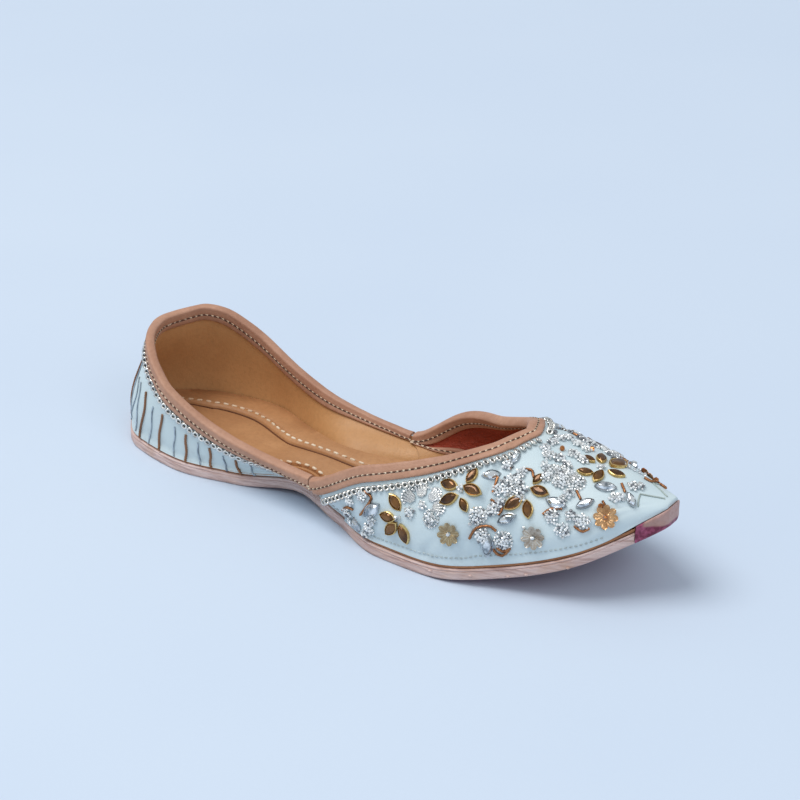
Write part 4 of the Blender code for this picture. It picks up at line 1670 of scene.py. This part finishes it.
def quarterPaths(rows, rise, first):
    paths = []
    for number, foot in enumerate(heelPlaces()):
        if number % 2 == first:
            for side in (outer, inner) if number else (outer,):
                path = []
                for t in spread(0.0, 1.0, 24):
                    sway = 0.0004 * math.sin(6.0 * t + number) if foot else 0.0
                    path.append(onSkin(side, max(foot + sway, 0.0), 0.88 * (1 - t) + 0.03, rise))
                paths.append(path)
    for number, (topX, topY, footX, footY) in enumerate(rows):
        # Each cord wavers a little on its way down
        waver = [math.sin(5.1 * t + 2.3 * number) * math.sin(math.pi * t) for t in spread(0.0, 1.0, 24)]
        pixels = []
        for step in range(9):
            t = step / 8
            sway = quarterLook["waver"] * waver[3 * step]
            pixels.append((topX + (footX - topX) * t + sway, topY + (footY - topY) * t))
        near = cordPath(pixels, rise, steps=3)
        paths.append(near)
        top, low = footAndLevel(near[0][0]), footAndLevel(near[-1][0])
        far = []
        for t, sway in zip(spread(0.0, 1.0, 24), waver):
            foot = top[0] + (low[0] - top[0]) * t + 0.0015 * sway
            far.append(onSkin(inner, foot, max(top[1] + (low[1] - top[1]) * t, 0.03), rise))
        paths.append(far)
    return paths


cordBrown = leather("brownCord", colour(160, 116, 84), colour(118, 80, 56), 0.45, 0.0008, 0.0003,
                    0.00005).material
silverCord = metal("silverCord", colour(196, 206, 214), 0.35, colour(132, 146, 158))
cordAlongPath("quarterBrownCords", quarterPaths(brownCords, 0.0003, 0), cordBrown,
              quarterLook["brownRadius"], 0.7, 2000.0)
cordAlongPath("quarterSilverCords", quarterPaths(silverCords, 0.0002, 1), silverCord,
              quarterLook["silverRadius"], 0.7, 4200.0)
print("quarter cords made")


# Embroidery. Every row of numbers is in pixels of the photograph
embroideryLook = {
    "mirrorFrom": 0.012,  # motifs further out than this are sewn on the hidden side too
    "seedBead": 0.00118,
    "copperBead": 0.0021,
    "silverDot": 0.0015,
    "darkBead": 0.0018,
    "rimBead": 0.0011,
    "rimPitch": 0.00115,
    "amber": (0.56, 0.0017),  # a leaf's width as a share of its length, and its height
    "crystal": (0.50, 0.0016),
    "narrowest": 0.0022,
    "sequin": (0.84, 0.60, 0.0012),  # a petal's length and width as shares of the radius, and its height
    "bugleLength": 0.0052,
    "bugleWidth": 0.00085,
    "copperRadius": 0.00062,
    "toeSeamRadius": 0.00034,
}
# Amber leaves in gold settings, from the stem to the tip
amberRows = [
    (390, 493.5, 400.5, 511), (380.4, 513.8, 396.3, 519.5), (386.7, 533.5, 397.6, 522),
    (408.4, 543.7, 400.8, 523.3), (467, 483.8, 478, 469.1), (458.5, 487.5, 441.6, 483),
    (463.9, 486.3, 483, 495.3), (458.8, 495.3, 440.3, 503.5), (461.4, 497.8, 467, 512.5),
    (533, 484.4, 543, 474.6), (530.3, 488.6, 549.3, 494.9), (523.3, 497, 504.4, 509.6),
    (527.5, 499.8, 528.9, 519.4), (593.5, 474, 576.6, 471.5), (594.9, 463.3, 583.7, 457),
    (601, 464, 601, 455.4), (607.5, 471.7, 625, 477.4), (602.6, 471.7, 593.5, 483),
    (610.3, 467.5, 625, 463.3),
]
# Clear stones in silver settings, from one end to the other
crystalRows = [
    (365, 515.7, 379.7, 504), (481.2, 476, 501.6, 473.8), (512, 464.7, 519, 451.5),
    (497.4, 522.8, 516.3, 514.6), (489, 533.5, 487.4, 556), (545.8, 499.8, 566.8, 506.8),
    (575.9, 508.2, 594.2, 500.2), (594.2, 486.5, 616.7, 488.7), (627, 493.2, 634, 508.2),
    (353.8, 516.9, 358.8, 534.9),
]
# Petals filled with seed beads, as x and y of the middle and a radius
petalRows = [
    (350.4, 500.4, 6), (362.5, 495.3, 7), (347.8, 511.8, 6), (369.5, 528.4, 7), (352, 521, 5),
    (478, 515.7, 8), (493.9, 509.3, 7), (482.6, 536.3, 8), (503.7, 540.5, 8), (512, 485.8, 13),
    (507.9, 466, 6), (521.9, 473, 6), (493, 508.2, 5), (552, 516.6, 8), (562.6, 530, 8), (582.2, 521.7, 8),
    (568.2, 494.2, 6), (554.2, 473, 8), (561.2, 481.6, 9), (576.6, 483, 7), (549.3, 456.3, 7),
    (573.8, 454.9, 7), (566.8, 466, 6), (568, 438.7, 6), (632.8, 487, 6), (614.5, 498.4, 6), (398, 518, 3.5),
    (461, 488.9, 4), (526, 488.6, 3.5), (601.2, 468.2, 4), (431.4, 518.7, 7), (410.0, 512.0, 6),
    (545, 449, 6), (553, 443, 6), (560, 439, 6), (578, 445, 7), (586, 450, 6), (583, 461, 6), (560, 459, 6),
    (570, 475, 7), (545, 466, 5), (545, 478, 6), (500, 503, 6), (520, 497, 6), (498, 490, 6), (561, 502, 6),
    (571, 516, 6), (620, 498, 5), (640, 487, 5), (423, 506, 5), (372, 520, 6), (366, 534, 5), (484, 514, 5),
]
# Rings of beads round the finest petals
ringRows = [(478, 515.7, 9), (503.7, 540.5, 9.5), (554.2, 473, 10), (576.6, 483, 9), (431.4, 518.7, 9.5)]
# Copper cords, from end to end; the spike at the toe is on the near side only
copperArcs = [
    [(363, 489.5), (371.5, 496.5), (369.5, 503), (361, 514.4)],
    [(343.4, 509.3), (347.8, 506.7), (353.6, 509.3)],
    [(469.6, 538.6), (476, 528.4), (488.8, 525.9), (496.4, 531)], [(493, 492.8), (498, 477.3)],
    [(507, 458), (508.6, 464), (510.7, 470)], [(526, 469.6), (532, 471), (533.8, 478)],
    [(491, 499.8), (502.3, 506.8), (498.8, 515.2)], [(496.7, 547.2), (503.5, 551), (510.7, 548)],
    [(543, 514.5), (551.4, 509), (562.6, 509)], [(574.5, 526.3), (582, 531), (589.3, 527.7)],
    [(576.6, 491.4), (580.8, 499.8)], [(604.7, 505.6), (602.5, 501.6)], [(621.5, 484.4), (625, 492.8)],
    [(493, 548), (497, 553), (503, 555), (509, 550)],
]
copperSpike = [(644, 478.8), (650, 482), (658, 483.5), (666.4, 485.8)]
sequinRows = [(448.6, 534.2, 12.6, "gold"), (533, 537.7, 12.6, "silver"), (605.4, 517.3, 13, "copper")]
buglePetals = [(409.7, 497), (422, 491), (434.5, 496), (438.5, 507)]
bugleCentre = (423, 506)
copperBeads = [(561.9, 450), (591.4, 450.7), (655.9, 478.8), (600.5, 506)]
silverDots = [(624.3, 466), (629, 468.5), (634, 471), (639, 473.5), (644, 476), (524, 528), (470, 524)]
darkBeads = [(550, 431), (555, 434), (583, 441), (597, 447), (608, 455), (620, 461), (553, 440), (590, 444),
             (612, 459)]

# Seam and fold lines of the fabric at the toe
toeSeamRows = [[(639.8, 494.2), (650, 496.2), (658, 497.6), (665, 499)],
               [(640, 495), (638.5, 500), (638, 507)]]
chance = random.Random(17)
found = {name: [] for name in ("seed", "dull", "pearl", "copper", "amber", "gold", "crystal", "silver",
                               "bugle", "sequinGold", "sequinSilver", "sequinCopper")}
loops, bugleRims = [], []


# The sides that a motif is sewn on: both, unless it lies near the centre line or beyond it
def sides(x, y):
    return (False, True) if acrossOf(spot(x, y)[0]) < -embroideryLook["mirrorFrom"] else (False,)


# Way along the surface at an angle
def wayAt(up, angle):
    first = (Vector((1.0, 0.0, 0.0)) - up * up.x).normalized()
    return first * math.cos(angle) + up.cross(first) * math.sin(angle)


def addBead(kind, point, up, size):
    along = wayAt(up, chance.uniform(0, 2 * math.pi))
    found[kind].append((point, up, along, (size, size, size)))


goldenTurn = 2.39996  # radians from each bead of a petal to the next


# Beads laid out like the seeds of a sunflower, domed towards the middle
def addPetal(x, y, radius, flip):
    middle, up = spot(x, y, flip)
    reach = 1.12 * radius / pixelsPerMetre
    size = embroideryLook["seedBead"]
    count = max(4, round(0.86 * (2 * reach / size) ** 2))
    for number in range(count):
        far = reach * math.sqrt((number + 0.4) / count) * 0.92
        rise = size * (0.30 + 0.75 * (1 - (far / reach) ** 2))
        point, normal = seated(middle + far * wayAt(up, goldenTurn * number + x), up, rise)
        kind = chance.choice(("seed", "seed", "seed", "pearl", "pearl", "pearl", "dull"))
        lean = 0.6 * Vector((chance.uniform(-1, 1), chance.uniform(-1, 1), 0))
        addBead(kind, point, (normal + lean).normalized(), size * chance.uniform(0.85, 1.15))


def addStone(row, flip, stone, setting):
    baseX, baseY, tipX, tipY = row
    width, height = embroideryLook[stone]
    base, up = spot(baseX, baseY, flip)
    tip, tipUp = spot(tipX, tipY, flip)
    middle, along = (base + tip) / 2, tip - base
    seat, normal = seated(middle, ((up + tipUp) / 2).normalized())
    low = middle + max((seat - middle).dot(normal), 0.0) * normal * 0.6
    size = (along.length, max(width * along.length, embroideryLook["narrowest"]), height)
    for kind in (stone, setting):
        found[kind].append((low - along / 2, normal, along.normalized(), size))


def addRing(x, y, radius, flip):
    middle, up = spot(x, y, flip)
    reach = radius / pixelsPerMetre
    loops.append([seated(middle + reach * wayAt(up, angle), up, 0.0003)
                  for angle in spread(0.0, 2 * math.pi, 24)])


def starWays(up):
    return [wayAt(up, math.pi * petal / 4 + 0.3) for petal in range(8)]


# A flat flower that lies on the highest places under its petals
def addSequins(x, y, radius, tone, flip):
    middle, up = spot(x, y, flip)
    reach = radius / pixelsPerMetre
    seats = [seated(middle + 0.7 * reach * along, up) for along in starWays(up)]
    flat = sum((normal for _, normal in seats), Vector()).normalized()
    low = middle + (max(0.0, *((seat - middle).dot(flat) for seat, _ in seats)) + 0.00015) * flat
    longShare, wideShare, height = embroideryLook["sequin"]
    size = (longShare * reach, wideShare * reach, height)
    for along in starWays(flat):
        found["sequin" + tone.capitalize()].append((low + 0.18 * reach * along, flat, along, size))
    addBead("copper" if tone == "copper" else "seed", low + 0.0007 * flat, flat, embroideryLook["silverDot"])


def addBugles(x, y, flip):
    centre, up = spot(*bugleCentre, flip)
    middle, _ = spot(x, y, flip)
    outwards = (middle - centre).normalized()
    beside = up.cross(outwards)
    wide = embroideryLook["bugleWidth"]
    for step in (-2, -1, 0, 1, 2):
        point, normal = seated(middle + step * wide * beside, up, 0.0005)
        along = (outwards + 0.10 * step * beside).normalized()
        reach = embroideryLook["bugleLength"] - 0.0006 * abs(step)
        found["bugle"].append((point, normal, along, (reach, wide, wide)))
    rim = []
    for step in range(-4, 5):
        angle = step / 4 * 1.35
        far = middle + 0.0031 * math.cos(angle) * outwards + 0.0029 * math.sin(angle) * beside
        rim.append(seated(far, up, 0.0004))
    bugleRims.append(rim)


for rows, kind, setting in ((amberRows, "amber", "gold"), (crystalRows, "crystal", "silver")):
    for row in rows:
        for flip in sides(row[0], row[1]):
            addStone(row, flip, kind, setting)
for rows, add in ((petalRows, addPetal), (ringRows, addRing), (sequinRows, addSequins),
                  (buglePetals, addBugles)):
    for row in rows:
        for flip in sides(row[0], row[1]):
            add(*row, flip)
for kind, pixels, name in (("copper", copperBeads, "copperBead"), ("seed", silverDots, "silverDot"),
                           ("dull", darkBeads, "darkBead")):
    size = embroideryLook[name]
    for x, y in pixels:
        for flip in sides(x, y):
            point, up = spot(x, y, flip)
            addBead(kind, point + 0.4 * size * up, up, size)
copperPaths = [cordPath(arc, 0.0005, flip) for arc in copperArcs for flip in sides(*arc[0])]
copperPaths.append(cordPath(copperSpike, 0.0005))
toeSeams = [cordPath(pixels, 0.0002, flip) for flip in (False, True) for pixels in toeSeamRows]

# Ends of the sewing thread that stand out at the lower edge of the sole
soleSurface = surfaceOf(outsole)
pegPixels = [(430, 571), (470, 576), (507.9, 576.4), (526, 575), (550, 572.9), (568, 568), (585, 564.4),
             (602, 559.5)]
pegSize = (0.0016, 0.0011, 0.0010)
pegs = []
for x, y in pegPixels:
    hit, up, _, _ = soleSurface.ray_cast(Vector(cameraLook["place"]), sightLine(x, y))
    if hit:
        pegs.append((hit, up, Vector((1.0, 0.0, 0.0)), pegSize))
setOnPlaces("soleThreadEnds", pegs, roundShape, soleEdgeLeather, 0.0, 6, True)

# Metal of beads, settings, sequins and threads: its colour, its roughness and its tarnish
metalRows = [
    ("silverBead", (244, 244, 242), 0.22, (204, 208, 212)),
    ("dullBead", (164, 166, 170), 0.25, (112, 114, 122)),
    ("copperBead", (206, 138, 84), 0.20, (126, 74, 42)),
    ("goldSetting", (232, 200, 136), 0.24, (158, 124, 70)),
    ("silverSetting", (196, 200, 204), 0.18, (104, 110, 118)),
    ("goldSequin", (196, 176, 140), 0.22, (136, 112, 84)),
    ("silverSequin", (214, 204, 190), 0.22, (150, 134, 118)),
    ("copperSequin", (226, 180, 132), 0.20, (150, 98, 60)),
    ("copperThread", (188, 132, 92), 0.38, (116, 72, 48)),
]
shine = {name: metal(name, colour(*base), roughness, colour(*dark))
         for name, base, roughness, dark in metalRows}
pearlWhite = polished("pearlBead", colour(238, 240, 240), 0.16, 0.0, (0.002,),
                      [(0.3, colour(214, 222, 228)), (0.7, colour(246, 246, 244))], 0.0005, 0.00003)
amberGlass = polished("amberStone", colour(120, 84, 40), 0.05, 0.55, (0.0045, 2.0),
                      [(0.30, colour(58, 36, 22)), (0.70, colour(140, 96, 50))], 0.0012, 0.00006)
clearGlass = polished("clearStone", colour(204, 214, 222), 0.04, 0.9, (0.003, 2.0),
                      [(0.38, colour(138, 148, 156)), (0.60, colour(244, 247, 248))], 0.0015, 0.00008)
for name, kind, shape, material in (
    ("seedBeads", "seed", beadShape, shine["silverBead"]),
    ("dullBeads", "dull", beadShape, shine["dullBead"]),
    ("pearlBeads", "pearl", beadShape, pearlWhite),
    ("copperBeads", "copper", beadShape, shine["copperBead"]),
    ("amberLeaves", "amber", stoneShape, amberGlass),
    ("goldSettings", "gold", settingShape, shine["goldSetting"]),
    ("clearStones", "crystal", crystalShape, clearGlass),
    ("silverSettings", "silver", settingShape, shine["silverSetting"]),
    ("bugleBeads", "bugle", barShape, shine["silverBead"]),
    ("sequinGold", "sequinGold", petalShape, shine["goldSequin"]),
    ("sequinSilver", "sequinSilver", petalShape, shine["silverSequin"]),
    ("sequinCopper", "sequinCopper", petalShape, shine["copperSequin"]),
):
    setOnPlaces(name, found[kind], shape, material)
look = embroideryLook
cordAlongPath("copperCords", copperPaths, shine["copperThread"], look["copperRadius"], 0.7, 3000.0)
threadGreen = thread("toeSeamThread", colour(186, 198, 194), colour(150, 162, 156))
cordAlongPath("toeSeamCords", toeSeams, threadGreen, look["toeSeamRadius"], 0.75, 3000.0)
rowAlongPath("petalRims", loops + bugleRims, beadShape, shine["silverBead"], look["rimPitch"],
             look["rimBead"], 0.0, 0.8, 31)
for shape in shapes:
    bpy.data.objects.remove(shape)
print("embroidery made:", {kind: len(rows) for kind, rows in found.items()})


# Floor, light and camera
stageLook = {
    "floorSize": 6.0,
    "paper": (colour(199, 213, 231), colour(204, 217, 233)),
    "farPaperPaintedLight": colour(214, 228, 246),
    "sky": (0.90, 0.95, 1.0, 1.0),
    "skyStrength": 0.55,
    "key": {"at": (-0.9, -0.9, 2.9), "size": 2.2, "power": 64.0, "tint": (1.0, 0.99, 0.97)},
    "fill": {"at": (1.6, -0.5, 1.4), "size": 1.0, "power": 6.0, "tint": (0.93, 0.96, 1.0)},
    "lightTarget": (0.1, 0.0, 0.0),
}


def makeCamera():
    data = bpy.data.cameras.new("photoCamera")
    data.sensor_width = 36.0
    data.lens = cameraLook["focalPixels"] / imageSize * data.sensor_width
    data.clip_start, data.clip_end = 0.02, 20.0
    camera = inScene("photoCamera", data)
    right, up, ahead = cameraAxes()
    turn = Matrix((right, up, -ahead)).transposed()
    camera.matrix_world = Matrix.Translation(cameraLook["place"]) @ turn.to_4x4()
    bpy.context.scene.camera = camera


def makeFloor():
    half = stageLook["floorSize"] / 2
    mesh = bpy.data.meshes.new("floor")
    corners = [(-half, -half, 0), (half, -half, 0), (half, half, 0), (-half, half, 0)]
    mesh.from_pydata(corners, [], [(0, 1, 2, 3)])
    floor = inScene("floor", mesh)
    finish = Finish("floorPaper", stageLook["paper"][1], 0.75, specular=0.2)
    clouds = finish.ramp(finish.cloud(0.30, 2.0), [(0.3, 0.0), (0.7, 1.0)])
    paper = finish.mix(clouds, *stageLook["paper"])
    # The far paper is painted a little paler: painted light that makes up for the key light falling off
    # there
    finish.paint(finish.mix(finish.along("Y", -0.1, 1.5), paper, stageLook["farPaperPaintedLight"]))
    mesh.materials.append(finish.relief((finish.cloud(0.002, 3.0), 0.00003)))


def makeLight(name, look):
    data = bpy.data.lights.new(name, "AREA")
    data.shape, data.size, data.energy, data.color = "DISK", look["size"], look["power"], look["tint"]
    light = inScene(name, data)
    light.location = look["at"]
    light.rotation_mode = "QUATERNION"
    aim = Vector(stageLook["lightTarget"]) - Vector(look["at"])
    light.rotation_quaternion = aim.to_track_quat("-Z", "Y")


def makeSky():
    world = bpy.data.worlds.new("studio")
    world.use_nodes = True
    back = world.node_tree.nodes["Background"]
    back.inputs["Color"].default_value = stageLook["sky"]
    back.inputs["Strength"].default_value = stageLook["skyStrength"]
    bpy.context.scene.world = world


makeCamera()
makeFloor()
makeSky()
makeLight("keyLight", stageLook["key"])
makeLight("fillLight", stageLook["fill"])
bpy.context.scene.view_settings.view_transform = "Standard"
print("stage made")
